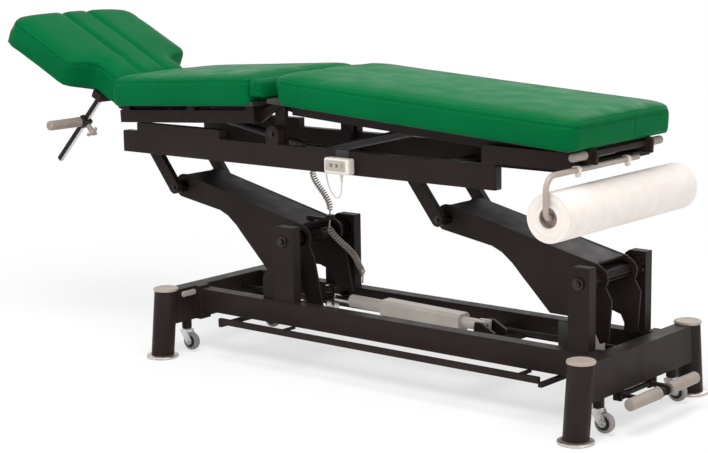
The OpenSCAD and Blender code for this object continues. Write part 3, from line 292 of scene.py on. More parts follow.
def between(tree, fac, low, high):
    """A colour that runs from low to high over the noise's usual range."""
    ramp = add(tree, "ShaderNodeValToRGB", [("Fac", fac)])
    for stop, at, colour in zip(ramp.color_ramp.elements, (NOISE_LOW, NOISE_HIGH), (low, high)):
        stop.position, stop.color = at, (*colour, 1)
    return ramp.outputs["Color"]


def level(tree, fac, low, high):
    """A number that runs from low to high over the noise's usual range."""
    return add(tree, "ShaderNodeMapRange", [("Value", fac)], From_Min=NOISE_LOW,
               From_Max=NOISE_HIGH, To_Min=low, To_Max=high).outputs["Result"]


def cells(tree, scale):
    """Distance to the nearest cell point on object coordinates."""
    return add(tree, "ShaderNodeTexVoronoi", [("Vector", coordinates(tree))],
               Scale=scale).outputs["Distance"]


def look(name, rough, colour, uneven, layers, metallic=0.0, **sockets):
    """A material: noise and two ends for its colour and its roughness, then layers of height over
    each other, each a noise or a scale of cells with its strength and depth in metres."""
    m = bpy.data.materials.new(name)
    m.use_nodes = True
    t = m.node_tree
    p = t.nodes["Principled BSDF"]
    for key, value in dict(sockets, Roughness=rough, Metallic=metallic).items():
        p.inputs[key.replace("_", " ")].default_value = value
    where, low, high = colour
    t.links.new(between(t, noise(t, *where), low, high), p.inputs["Base Color"])
    if uneven:
        where, low, high = uneven
        t.links.new(level(t, noise(t, *where), low, high), p.inputs["Roughness"])
    under = []
    for grain, strength, depth in layers:
        height = noise(t, *grain) if isinstance(grain, tuple) else cells(t, grain)
        bump = add(t, "ShaderNodeBump", [("Height", height)] + under, Strength=strength,
                   Distance=depth)
        under = [("Normal", bump.outputs["Normal"])]
    t.links.new(under[0][1], p.inputs["Normal"])
    return m


# Plastic, rubber, enamel and card: low and high colour, roughness, scale of the grain
MOULDED = {
    "taupe_plastic": ((0.36, 0.30, 0.255), (0.43, 0.36, 0.31), 0.46, 900),
    "taupe_rubber": ((0.265, 0.22, 0.19), (0.325, 0.27, 0.235), 0.62, 1500),
    "taupe_metal": ((0.37, 0.30, 0.26), (0.43, 0.355, 0.31), 0.34, 1500),
    "cream_plastic": ((0.72, 0.675, 0.60), (0.80, 0.755, 0.68), 0.38, 1300),
    "panel_film": ((0.40, 0.365, 0.315), (0.47, 0.43, 0.375), 0.3, 1800),
    "printed_symbol": ((0.02, 0.018, 0.016), (0.04, 0.035, 0.03), 0.5, 1800),
    "grey_housing": ((0.50, 0.455, 0.415), (0.60, 0.55, 0.50), 0.42, 1000),
    "black_plastic": ((0.014, 0.012, 0.011), (0.026, 0.022, 0.02), 0.5, 900),
    "cord_jacket": ((0.31, 0.265, 0.23), (0.43, 0.375, 0.33), 0.45, 1600),
    "grey_tyre": ((0.20, 0.185, 0.178), (0.27, 0.25, 0.24), 0.68, 500),
    "green_thread": ((0.0008, 0.15, 0.05), (0.001, 0.20, 0.07), 0.7, 1500),
    "core_card": ((0.24, 0.19, 0.155), (0.33, 0.265, 0.22), 0.85, 400),
    "key_dark": ((0.035, 0.031, 0.028), (0.06, 0.054, 0.048), 0.4, 1500),
}
# Plated metal: low and high colour, roughness, scale of the smears
PLATED = {
    "satin_ring": ((0.50, 0.44, 0.40), (0.62, 0.56, 0.51), 0.38, 60),
    "blackened_bolt": ((0.035, 0.03, 0.028), (0.06, 0.052, 0.048), 0.38, 120),
    "bright_chrome": ((0.70, 0.69, 0.68), (0.82, 0.81, 0.80), 0.14, 40),
    "zinc_plate": ((0.52, 0.51, 0.50), (0.72, 0.71, 0.70), 0.3, 90),
}
MAT = {m.name: m for m in (
    # brown-black, with orange peel, dull patches and faint dust
    look("powder_coat", 0.42, ((5,), (0.0165, 0.0110, 0.0098), (0.025, 0.0168, 0.015)),
         ((22,), 0.36, 0.5), [((260, 2), 0.25, 0.0004), ((1500, 2), 0.2, 0.00012)],
         Specular_IOR_Level=0.1),
    # soft stretch wrinkles, a pebbled grain of small cells and a finer one
    look("green_vinyl", 0.46, ((3.2, 4), (0.0, 0.110, 0.029), (0.0, 0.134, 0.040)),
         ((14,), 0.34, 0.5),
         [((9, 3, (1, 0.35, 1)), 0.35, 0.0016), (620, 0.3, 0.00035), ((2200, 1), 0.15, 0.0001)],
         Specular_IOR_Level=0.03),
    # fine creases across the web and faint embossing
    look("crepe_paper", 0.9, ((30,), (0.80, 0.735, 0.69), (0.85, 0.785, 0.74)), None,
         [((700, 3, (1, 0.08, 1)), 0.3, 0.0003), (330, 0.25, 0.0003)], Specular_IOR_Level=0.2,
         Sheen_Weight=0.15),
    # underside laminate, with fine pores along the length
    look("board_black", 0.6, ((12, 4, (1, 6, 6)), (0.013, 0.0105, 0.0095), (0.024, 0.019, 0.0172)),
         None, [((220, 3, (0.2, 1, 1)), 0.3, 0.0003)]))}
for name, (low, high, rough, grain) in MOULDED.items():
    MAT[name] = look(name, rough, ((9,), low, high), ((60,), rough - 0.06, rough + 0.08),
                     [((grain, 2), 0.3, 0.00012)])
for name, (low, high, rough, scale) in PLATED.items():
    MAT[name] = look(name, rough, ((scale,), low, high),
                     ((scale * 2, 4), rough * 0.75, rough * 1.3),
                     [((scale * 12, 2), 0.12, 0.0001)], 1.0)


SLOTS = {finish: slot for slot, finishes in {
    "black_steel": ["powder_coat", "key_dark", "printed_symbol", "blackened_bolt", "black_plastic"],
    "green_cover": ["green_vinyl", "green_thread"],
    "paper": ["crepe_paper", "core_card"],
    "taupe_plastic": ["taupe_plastic", "taupe_rubber", "satin_ring", "grey_housing"],
    "cream_plastic": ["cream_plastic", "panel_film"],
    "grey_tyre": ["grey_tyre"],
    "bright_steel": ["zinc_plate", "bright_chrome"],
}.items() for finish in finishes}


# ---- Camera, light and floor ----

# The photograph's view, found from the legs, beams and cushions
LENS, SENSOR, CLIP_END = 89.95, 36, 60
YAW, PITCH, ROLL = radians(39.7754), radians(10.1767), radians(-0.8939)
CAMERA_AT = (2.8324 + BASE_X * MM, -3.6455, 1.2336)
# name, place, aim, size and power of each lamp
LAMPS = [
    ("key", (0.9, -1.3, 3.7), (0.1, 0, 0.6), 2.4, 112),
    ("fill", (-2.2, -3.0, 1.9), (0, 0, 0.5), 2.4, 18),
    ("foot", (3.6, -0.9, 1.3), (0.8, 0, 0.45), 2.0, 16),
    ("back", (0.4, 3.0, 2.6), (0, 0, 0.6), 2.4, 36),
]
WORLD_LIGHT = 0.56
FLOOR_HALF, FLOOR_DROP, FLOOR_GREY = 30, 0.0004, 0.93
FADE_START, FADE_END, FADE_LOW = 1.0, 2.1, 0.6


def camera():
    """The camera, set from the view's yaw, pitch and roll."""
    cam = linked("camera", bpy.data.cameras.new("camera"))
    cam.data.lens, cam.data.sensor_width, cam.data.clip_end = LENS, SENSOR, CLIP_END
    ahead = Vector((-sin(YAW) * cos(PITCH), cos(YAW) * cos(PITCH), -sin(PITCH)))
    right = Vector((cos(YAW), sin(YAW), 0))
    up = right.cross(ahead)
    right, up = right * cos(ROLL) + up * sin(ROLL), up * cos(ROLL) - right * sin(ROLL)
    m = Matrix((right, up, -ahead)).transposed().to_4x4()
    m.translation = Vector(CAMERA_AT)
    cam.matrix_world = m
    bpy.context.scene.camera = cam


def lamp(name, place_m, aim, size, power):
    """A square soft lamp aimed at a point."""
    data = bpy.data.lights.new(name, "AREA")
    data.size, data.energy = size, power
    obj = linked(name, data)
    obj.location = place_m
    obj.rotation_euler = (Vector(aim) - Vector(place_m)).to_track_quat("-Z", "Y").to_euler()


def cleared(holder):
    """The emptied node tree of a world or a material."""
    holder.use_nodes = True
    holder.node_tree.nodes.clear()
    return holder.node_tree


def reckoned(tree, operation, a, b):
    """The result of one arithmetic operation."""
    return add(tree, "ShaderNodeMath", [(0, a), (1, b)], operation=operation).outputs[0]


def shown(tree, output, share, first, second):
    """Two shaders mixed by a share and led to the tree's output."""
    mix = add(tree, "ShaderNodeMixShader",
              [(0, share), (1, first.outputs[0]), (2, second.outputs[0])])
    add(tree, output, [("Surface", mix.outputs[0])])


def studio():
    """White backdrop for the camera, an even world, four soft lamps and a pale floor that keeps
    the shadow and fades to white away from the object."""
    scene = bpy.context.scene
    scene.view_settings.view_transform = "Standard"
    scene.world = bpy.data.worlds.new("studio")
    t = cleared(scene.world)
    ray = add(t, "ShaderNodeLightPath").outputs
    seen = reckoned(t, "MAXIMUM", ray["Is Camera Ray"], ray["Is Glossy Ray"])
    seen = reckoned(t, "MAXIMUM", seen, ray["Is Transmission Ray"])
    soft = add(t, "ShaderNodeBackground", Color=(1, 1, 1, 1), Strength=WORLD_LIGHT)
    white = add(t, "ShaderNodeBackground", Color=(1, 1, 1, 1), Strength=1.0)
    shown(t, "ShaderNodeOutputWorld", seen, soft, white)
    for row in LAMPS:
        lamp(*row)

    mesh = bpy.data.meshes.new("floor")
    corners = [(-1, -1), (1, -1), (1, 1), (-1, 1)]
    mesh.from_pydata([(x * FLOOR_HALF, y * FLOOR_HALF, 0) for x, y in corners], [], [(0, 1, 2, 3)])
    floor = linked("floor", mesh)
    floor.location.z = -FLOOR_DROP
    m = bpy.data.materials.new("floor_paper")
    t = cleared(m)
    matt = add(t, "ShaderNodeBsdfDiffuse", Color=(FLOOR_GREY, FLOOR_GREY, FLOOR_GREY, 1))
    glow = add(t, "ShaderNodeEmission", Color=(1, 1, 1, 1), Strength=1.0)
    spot = add(t, "ShaderNodeTexCoord")
    away = add(t, "ShaderNodeVectorMath", [(0, spot.outputs["Object"])], operation="LENGTH")
    fade = add(t, "ShaderNodeMapRange", [("Value", away.outputs["Value"])], From_Min=FADE_START,
               From_Max=FADE_END, To_Min=FADE_LOW, To_Max=1.0)
    ray = add(t, "ShaderNodeLightPath").outputs
    share = reckoned(t, "MULTIPLY", ray["Is Camera Ray"], fade.outputs["Result"])
    shown(t, "ShaderNodeOutputMaterial", share, matt, glow)
    mesh.materials.append(m)


camera()
studio()


# ---- Cords ----

WIRE_R, CABLE_R, CURL_R = 2.0, 2.0, 7.0
LOWER_CURLS, UPPER_CURLS = 32, 22
# far side beam to the head arm's clip, that clip to the upper frame, and handset to main beam
LOWER_LINE = [[-286, 135, 191], [-286, 135, 222], [-278, 108, 252], [-268, 78, 282],
              [-269, 48, 310], [-280, 20, 338], [-288, 0, 366], [-288, 0, 393.6]]
UPPER_LINE = [[-288, 0, 406], [-288, 0, 434], [-298, -8, 462], [-312, -20, 490], [-320, -30, 518],
              [-320, -30, 546.6]]
CABLE_LINE = [[-82, -192, 538], [-82, -192, 530], [-83, -192, 520], [-87, -190, 508],
              [-94, -188, 499], [-103, -185, 495], [-114, -181, 496], [-126, -177, 502],
              [-137, -173, 511], [-147, -169, 523], [-153, -166, 535], [-156, -165, 545],
              [-156, -165, 553]]
# straight lead and swelling at each end, as shares of the length
LEAD, EASE = 0.05, 0.08
TURN_STEPS, CABLE_STEPS = 20, 60


def curly(line, curls):
    """A helix about a smooth line, whose radius swells from 0 after a lead at each end."""
    n = curls * TURN_STEPS + 1
    t = np.linspace(0, 1, n)
    c = spline(line, n)
    s = lengths(c)
    c = resampled(c, s, t * s[-1])
    d = unit(np.gradient(c, axis=0))
    a = unit(np.cross(d, [1.0, 0, 0]))
    b = np.cross(a, d)
    e = np.minimum(t, 1 - t) - LEAD
    grown = (1 - np.cos(pi * np.clip(e / EASE, 0, 1))) / 2
    swell = np.where(e <= 0, 0, np.where(e >= EASE, 1, grown))[:, None]
    w = (2 * pi * curls * t)[:, None]
    return c + CURL_R * swell * (np.cos(w) * a + np.sin(w) * b)


def lay_cord(name, route, r, body, node, sides, exit_at):
    """A cord's tube along its route."""
    obj = piece(name, [skin(sweep(route, r, sides, (1, 0.2, 0.1)))], "cord_jacket", body, [node])
    path = place(route)
    tuple(place(exit_at))
    return obj


lay_cord("curly_cord_lower_jacket", curly(LOWER_LINE, LOWER_CURLS), WIRE_R, "base",
         "curly_cord_lower", 10, LOWER_LINE[0])
# The upper cord rides with the head arm: its top end leaves the frame's gland when the lift moves.
lay_cord("curly_cord_upper_jacket", curly(UPPER_LINE, UPPER_CURLS), WIRE_R, "head_arm",
         "curly_cord_upper", 10, UPPER_LINE[0])
cable = lay_cord("handset_cable_jacket", spline(CABLE_LINE, CABLE_STEPS), CABLE_R, "upper_frame",
                 "handset_cable", 14, CABLE_LINE[0])
cable.data.materials[0] = MAT["cream_plastic"]


# ---- Finishes of the nodes that keep their CAD form ----

FINISH = {
    "powder_coat": ["legs", "head_crossbeam", "foot_crossbeam", "side_beams", "head_uprights",
                    "foot_uprights", "pivot_axles", "actuator_bracket", "bar_hangers", "head_arm",
                    "foot_arm", "main_beams", "cross_members", "hangers", "hinge_posts",
                    "end_rails", "mid_frame", "long_frame", "head_frame", "foot_bar",
                    "head_caster_beam", "foot_caster_beam", "caster_link"],
    "taupe_metal": ["roll_holder"],
    "cream_plastic": ["frame_clips"],
    "grey_housing": ["actuator_body"],
    "bright_chrome": ["actuator_rod", "long_spring_rods", "mid_spring_rod"],
    "black_plastic": ["long_spring_tubes", "mid_spring_tube"],
    "board_black": ["mid_board", "long_board", "head_board"],
}
ROUND_EDGE = {"powder_coat": 1.2, "cream_plastic": 1.5, "grey_housing": 2.0, "board_black": 1.0,
              "taupe_metal": 0.6}
WELD_GAP, BEVEL_ANGLE = 0.00002, 32


def finish_nodes():
    """Each kept node gets its material, and most also a small round on their sharp edges."""
    for finish, names in FINISH.items():
        for name in names:
            node = nodes[name]
            node.data.materials.clear()
            node.data.materials.append(MAT[finish])
            if finish in ROUND_EDGE:
                weld = node.modifiers.new("weld", "WELD")
                weld.merge_threshold = WELD_GAP
                bevel = node.modifiers.new("edge", "BEVEL")
                bevel.width = ROUND_EDGE[finish] * MM
                bevel.segments = 2
                bevel.limit_method = "ANGLE"
                bevel.angle_limit = radians(BEVEL_ANGLE)
                bevel.harden_normals = True


finish_nodes()


# ---- Cushions ----

CUSHION_HALF, HEAD_L, HEAD_HALF, NECK_HALF = 244, 460, 250, 152
NECK_SHARE, STEP_SHARE = 0.25, 0.14
CROWN_R, ROOF_IN = 26, 8
# the cover's reach below the board's top, and how much smaller the form is before it swells
WRAP, SHRINK = 11, 3.0
VOXEL, PRESSURE, SWELL_CAP = 7.0, 4.0, 6.5
CLOTH_FRAMES = 20
GROOVES = (-50, 50)
GROOVE_DEEP, GROOVE_WIDE = 17, 5.5
WELT_R = 1.5
SKEW = (0.31, 0.52, 0.8)
SEAM_POINTS, NEAR_ROWS = 900, 4000
STITCH_EVERY, STITCH_L, STITCH_R = 5.2, 3.6, 0.42
END_SEAM_Y, DRAW_OUT = 45, 4.0
CUSHIONS = {
    # x: start and end along the section; lean: of both ends; z: level of the board's top
    "mid": dict(x=(-566, -20), side=66, crown=8, corner=30, lean=(0, 0), z=91.3, to=in_mid,
                body="middle_section"),
    "long": dict(x=(46, 982), side=58, crown=14, corner=46, lean=(20, 0), z=102.3, to=in_long,
                 body="long_section"),
    "head": dict(x=(-460, 0), side=70, crown=12, corner=58, lean=(0, 38), z=-12.7, to=in_head,
                 body="head_section"),
}


def half_width(kind, x):
    """Half width along a cushion: the head one steps out from its neck by half a cosine wave."""
    if kind != "head":
        return np.full_like(x, CUSHION_HALF)
    t = np.clip((-x / HEAD_L - NECK_SHARE) / STEP_SHARE, 0, 1)
    return NECK_HALF + (HEAD_HALF - NECK_HALF) * (1 - np.cos(pi * t)) / 2


def ease(d, r):
    """Quarter-circle closing factor at a distance from an end."""
    q = 1 - np.clip(d / r, 0, 1)
    return np.sqrt(np.maximum(0, 1 - q * q))


def plan(kind, x):
    """Half width and height share of a cushion at places along it."""
    c = CUSHIONS[kind]
    x0, x1 = c["x"]
    d = np.minimum(x - x0, x1 - x)
    width = half_width(kind, x) - c["corner"] * (1 - ease(d, c["corner"]))
    return width, ease(d, CROWN_R)


def leaning(kind, x, z):
    """The end faces lean: a shift that falls to none a third of the way along."""
    c = CUSHIONS[kind]
    x0, x1 = c["x"]
    share = (x - x0) / (x1 - x0)
    first, last = c["lean"]
    shift = first * np.maximum(0, 1 - share * 3) + last * np.maximum(0, 1 - (1 - share) * 3)
    return x - shift * np.maximum(0, z) / c["side"]


def cushion_form(kind):
    """Cross-sections along the length: sides drawn in above, a crown of half an ellipse, creased
    channels whose depth falls off exponentially, and ends closed by quarter circles."""
    c = CUSHIONS[kind]
    x0, x1 = c["x"]
    u = np.linspace(0, pi, 90)
    x = x0 + SHRINK + (x1 - x0 - 2 * SHRINK) * (1 - np.cos(u)) / 2
    width, t = plan(kind, x)
    w = (width - SHRINK)[:, None]
    h = (c["side"] * (0.8 + 0.2 * t))[:, None]
    low = np.array([[7, -WRAP], [2.5, -WRAP + 1.2], [0.6, -WRAP + 4.5]])
    side = np.array([[0, 0.02], [-0.6, 0.25], [0.2, 0.5], [1.2, 0.75], [4, 0.93]])
    up_y = np.hstack([w - low[:, 0], w - side[:, 0]])
    up_z = np.hstack([np.repeat(low[None, :, 1], len(x), 0), h * side[:, 1]])
    v = np.sin(np.linspace(pi / 2, -pi / 2, 121))
    top_y = (w - ROOF_IN) * v
    top_z = h - SHRINK + c["crown"] * t[:, None] * np.sqrt(np.maximum(0, 1 - v * v))
    if kind == "head":
        for at in GROOVES:
            near = np.abs(top_y - at)
            top_z = top_z - GROOVE_DEEP * np.exp(-near / GROOVE_WIDE) * (0.35 + 0.65 * t[:, None])
    y = np.hstack([up_y, top_y, -up_y[:, ::-1]])
    z = np.hstack([up_z, top_z, up_z[:, ::-1]])
    xx = leaning(kind, np.repeat(x[:, None], y.shape[1], 1), z)
    if c["lean"][1]:
        xx = np.where(z < 2, np.minimum(xx, x1 - 16), xx)
    return skin(np.stack([xx, y, z], -1))


def baked(obj):
    """The object's mesh with its modifiers applied."""
    deps = bpy.context.evaluated_depsgraph_get()
    return bpy.data.meshes.new_from_object(obj.evaluated_get(deps))


def points_of(mesh):
    """A mesh's vertices as rows."""
    p = np.empty(len(mesh.vertices) * 3)
    mesh.vertices.foreach_get("co", p)
    return p.reshape(-1, 3)


def normals_of(mesh):
    """A mesh's vertex normals as rows."""
    n = np.empty(len(mesh.vertices) * 3)
    mesh.vertex_normals.foreach_get("vector", n)
    return n.reshape(-1, 3)


def faces_of(mesh):
    """A mesh's faces as rows of vertex numbers."""
    return [tuple(f.vertices) for f in mesh.polygons]


def moved_to(mesh, points):
    """The mesh's vertices set to the points."""
    mesh.vertices.foreach_set("co", points.ravel())
    mesh.update()


def swelled(forms):
    """Voxel-remeshed copies of the forms swell as pressurised cloth without gravity. No point moves
    further than the cap, and the underside stays flat on its board."""
    work = {}
    for kind, (verts, faces) in forms.items():
        mesh = bpy.data.meshes.new("work")
        mesh.from_pydata((verts * MM).tolist(), [], faces)
        mended(mesh)
        obj = linked("work_" + kind, mesh)
        remesh = obj.modifiers.new("voxels", "REMESH")
        remesh.mode, remesh.voxel_size = "VOXEL", VOXEL * MM
        obj.data = baked(obj)
        obj.modifiers.clear()
        work[kind] = obj
    start = {kind: points_of(obj.data) for kind, obj in work.items()}
    for obj in work.values():
        cloth = obj.modifiers.new("cloth", "CLOTH")
        s = cloth.settings
        s.quality, s.mass = 5, 0.3
        s.tension_stiffness = s.compression_stiffness = 25
        s.shear_stiffness, s.bending_stiffness = 12, 1.5
        s.use_pressure, s.uniform_pressure_force = True, PRESSURE
        s.effector_weights.gravity = 0
        cloth.collision_settings.use_collision = False
        cloth.point_cache.frame_start, cloth.point_cache.frame_end = 1, CLOTH_FRAMES
    for f in range(1, CLOTH_FRAMES + 1):
        bpy.context.scene.frame_set(f)
    out = {}
    for kind, obj in work.items():
        mesh = baked(obj)
        a, b = start[kind], points_of(mesh)
        move = b - a
        far = np.linalg.norm(move, axis=1, keepdims=True)
        cap = SWELL_CAP * MM
        move *= cap * np.tanh(far / cap) / np.maximum(far, 1e-9)
        under = a[:, 2] < (-WRAP + 3) * MM
        move[under, 2] = 0
        new = (a + move) / MM
        obj.modifiers.clear()
        fresh = bpy.data.meshes.new("swelled_" + kind)
        fresh.from_pydata(new.tolist(), [], faces_of(mesh))
        obj.data = fresh
        smooth = obj.modifiers.new("ease", "SMOOTH")
        smooth.factor, smooth.iterations = 0.5, 2
        sub = obj.modifiers.new("fine", "SUBSURF")
        sub.levels = sub.render_levels = RENDER_LEVELS
        out[kind] = baked(obj)
        bpy.data.objects.remove(obj)
    bpy.context.scene.frame_set(1)
    return out


def seam_line(kind, share, inset=0.0):
    """A closed, evenly spaced line round the cushion at a share of its side height."""
    c = CUSHIONS[kind]
    x0, x1 = c["x"]
    u = np.linspace(0, pi, 400)
    x = x0 + inset + (x1 - x0 - 2 * inset) * (1 - np.cos(u)) / 2
    width, t = plan(kind, x)
    z = c["side"] * (0.8 + 0.2 * t) * share
    y = width - inset
    loop = np.vstack([np.stack([leaning(kind, x, z), y, z], 1),
                      np.stack([leaning(kind, x, z), -y, z], 1)[::-1]])
    loop = np.vstack([loop, loop[:1]])
    s = lengths(loop)
    return resampled(loop, s, np.linspace(0, s[-1], SEAM_POINTS, endpoint=False))


def surface_of(mesh):
    """A search tree of the mesh's surface."""
    return BVHTree.FromPolygons(points_of(mesh).tolist(), faces_of(mesh))


def snapped(tree, line, out=0.0):
    """Each point of a line moved to the nearest place on the surface, then out along its normal."""
    hits = [tree.find_nearest(Vector(p)) for p in line]
    spots = np.array([h[0] for h in hits])
    normals = np.array([h[1] for h in hits])
    return spots + normals * out, normals


def drawn_out(mesh, side):
    """The free end of the head cover drawn out over the board's corners, fading with height and
    toward the hinge."""
    p, n = points_of(mesh), normals_of(mesh)
    n[:, 2] = 0
    share = np.clip((-p[:, 0] - 280) / 80, 0, 1) * np.clip((side * 0.6 - p[:, 2]) / 18, 0, 1)
    moved_to(mesh, p + n * DRAW_OUT * share[:, None])


def pressed(mesh, lines):
    """Vertices near a line pulled in along their normals, by a bell curve of the distance."""
    p, n = points_of(mesh), normals_of(mesh)
    for line, depth, wide in lines:
        best = np.full(len(p), np.inf)
        lo, hi = line.min(0) - 4 * wide, line.max(0) + 4 * wide
        inside = np.where(((p > lo) & (p < hi)).all(1))[0]
        for part in np.array_split(inside, max(1, len(inside) // NEAR_ROWS)):
            best[part] = np.sqrt(((p[part, None] - line[None]) ** 2).sum(-1).min(1))
        p = p - n * (depth * np.exp(-(best / wide) ** 2))[:, None]
    moved_to(mesh, p)


def stitches(tree, line):
    """Short capsules laid along a line on the surface, one for every stitch."""
    gap = np.linalg.norm(np.diff(line, axis=0), axis=1).mean()
    every = max(1, round(STITCH_EVERY / gap))
    spots, normals = snapped(tree, line, STITCH_R * 0.35)
    ahead = unit(np.roll(spots, -2, 0) - np.roll(spots, 2, 0))[::every]
    spots, normals = spots[::every], normals[::every]
    across = unit(np.cross(normals, ahead))
    shape = np.array([[-0.5, 0.35], [-0.36, 0.9], [0, 1.05], [0.36, 0.9], [0.5, 0.35]])
    w = angles(6)
    circle = (np.cos(w)[None, None, :, None] * across[:, None, None]
              + np.sin(w)[None, None, :, None] * normals[:, None, None])
    rings = (spots[:, None, None] + shape[None, :, None, :1] * STITCH_L * ahead[:, None, None]
             + STITCH_R * shape[None, :, None, 1:] * circle)
    return joined([skin(ring) for ring in rings])


def make_cushions():
    """The three cushions: swelled forms with pressed seams, welts and top stitching."""
    meshes = swelled({kind: cushion_form(kind) for kind in CUSHIONS})
    for kind, c in CUSHIONS.items():
        mesh = meshes[kind]
        if kind == "head":
            drawn_out(mesh, c["side"])
        seam, top = seam_line(kind, 0.94), seam_line(kind, 1.03, 11)
        tree = surface_of(mesh)
        seam, top = snapped(tree, seam)[0], snapped(tree, top)[0]
        # each line with its depth and width
        lines = [(seam, 3.2, 3.6), (top, 1.4, 3.2)]
        if kind != "head":
            end = c["x"][1] if kind == "long" else c["x"][0]
            z = np.linspace(-WRAP + 2, c["side"] * 0.86, 40)
            upright = np.stack([np.full_like(z, end), np.full_like(z, END_SEAM_Y), z], 1)
            lines.append((snapped(tree, upright)[0], 2.2, 3.2))
        pressed(mesh, lines)
        tree = surface_of(mesh)
        thread = stitches(tree, top)
        welt_line = snapped(tree, seam, 0.5)[0]
        welt = skin(sweep(np.vstack([welt_line, welt_line[:1]]), WELT_R, 8, SKEW))

        def to(p, c=c):
            return place(c["to"](np.asarray(p) + [0, 0, c["z"]]))

        mesh.polygons.foreach_set("use_smooth", np.ones(len(mesh.polygons), bool))
        moved_to(mesh, to(points_of(mesh)))
        mesh.materials.append(MAT["green_vinyl"])
        obj = linked(kind + "_pad", mesh)
        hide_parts(kind + "_cushion")
        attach(obj, c["body"])
        piece(kind + "_welt", [welt], "green_vinyl", c["body"], to=to)
        piece(kind + "_stitching", [thread], "green_thread", c["body"], to=to)


# Start and end along the section, low and high edge, and half width of the pleated cover
GUSSET = (-21.0, 22.0, 12.0, 60.0, 236.0)


def gusset_form():
    """Pleated cover between the middle and long cushions: two soft folds whose depth ripples a
    little from side to side."""
    x0, x1, z0, z1, half = GUSSET
    y = np.linspace(-half, half, 121)[:, None]
    u = np.linspace(0, 1, 41)[None, :]
    rim = ease(half - np.abs(y), 10)
    arch = np.abs(np.sin(2 * pi * u)) ** 0.6
    ripple = 1 + 0.10 * np.sin(y / 31.0) + 0.06 * np.sin(y / 11.0 + 2)
    top = z1 - 14 + 13 * arch * ripple - 8 * (1 - rim)
    low = z0 + 6 * arch
    x = x0 + (x1 - x0) * u + 0 * y
    yy = y * (1 + 0 * u) * (0.972 + 0.028 * arch)
    upper, lower = np.stack([x, yy, top], -1), np.stack([x, yy, low + 0 * y], -1)
    return skin(np.concatenate([upper, lower[:, ::-1]], 1))


def make_gusset():
    """The gusset rides with the middle section."""
    def to(p):
        return place(in_mid(np.asarray(p) + [0, 0, CUSHIONS["mid"]["z"]]))

    obj = piece("hinge_gusset", [gusset_form()], "green_vinyl", "middle_section", to=to,
                smooth=60)
    tuple(to([-21.0, 0, 30]))
    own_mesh(obj)


make_cushions()
make_gusset()


# ---- Small turned and moulded pieces ----

SIDES = ENDS = (-1, 1)
SIDE_NAMES, END_NAMES = ((-1, "near"), (1, "far")), ((-1, "head"), (1, "foot"))
HEAD_PIVOT_X, FOOT_PIVOT_X, PIVOT_Z = -335, 610, 348
BEAM_TOP, POST_OUT, POST_IN = 181.4, 145, 115
LEG_X, LEG_Y, LEG_H, LEAN = 685, 250, 188, 21
CROSSBEAM_X = 662


def turned_at(profile, centre, axis, sides, to=None, capped=True):
    """A turned form moved to a centre, in a section's own frame where one is given."""
    verts, faces = skin(lathe(profile, axis, sides), capped)
    verts = verts + np.asarray(centre, float)
    return (to(verts) if to else verts), faces


def plate_at(outline, centre, low, high, edge, axis="y", to=None):
    """Vertices and faces of a round-edged plate about a centre."""
    verts, faces = skin(prism(outline, low, high, edge, axis))
    verts = verts + np.asarray(centre, float)
    return (to(verts) if to else verts), faces


def hexagon(r):
    """Outline of a hexagon across its corners."""
    w = angles(6)
    return np.stack([np.cos(w), np.sin(w)], 1) * r


WASHER = 1.2


def bolt(centre, r, out):
    """A bolt head over a washer: a chamfered hexagon with a dished face, out along y."""
    tall = r * 0.62
    flat, top = out * WASHER, out * (WASHER + tall)
    washer = [(0, 0), (r * 1.5, 0), (r * 1.55, out * 0.5), (r * 1.5, flat), (0, flat)]
    low, high = sorted([flat, top])
    dish = [(0, top), (r * 0.62, top), (r * 0.66, out * (1.9 + tall)),
            (r * 0.3, out * (1.9 + tall)), (0, out * (1.4 + tall))]
    return [turned_at(washer, centre, "y", 36), plate_at(hexagon(r), centre, low, high, r * 0.1),
            turned_at(dish, centre, "y", 24)]


WELD_STEP, WELD_DROP = 1.5, 5.2


def weld(points, r=2.6):
    """A fillet weld: a tube whose radius swells with every drop."""
    p = np.asarray(points, float)
    s = lengths(p)
    at = np.linspace(0, s[-1], max(8, int(s[-1] / WELD_STEP)))
    swell = r * (0.82 + 0.18 * np.abs(np.sin(at * pi / WELD_DROP)))
    swell[[0, -1]] = r * 0.3
    return skin(sweep(resampled(p, s, at), swell, 8, SKEW))


GRIP_FLANGE, GRIP_DOME = 0.4, 5


def grip_profile(start, end, r):
    """Half-section of a rubber grip: a mouth ring, a barrel that thins a little and a domed end."""
    s = 1 if end > start else -1
    mouth, d = r + GRIP_FLANGE, GRIP_DOME
    w = np.linspace(0, pi / 2, 7)[1:]
    dome = [(r * 0.97 - d + d * cos(a) if a < pi / 2 else r * 0.6, end - s * d + s * d * sin(a))
            for a in w]
    return ([(r * 0.5, start), (mouth - 1.2, start), (mouth, start + s * 1.2),
             (mouth, start + s * 4), (r, start + s * 5.5), (r * 0.985, (start + end) / 2),
             (r * 0.97, end - s * d)] + dome + [(0, end)])


def grips(name, body, start, end, r, centre, sides, to=None):
    """The two rubber grips of a cross bar."""
    for s, side in SIDE_NAMES:
        grip = turned_at(grip_profile(s * start, s * end, r), centre, "y", sides, to)
        piece(name + side, [grip], "taupe_rubber", body)


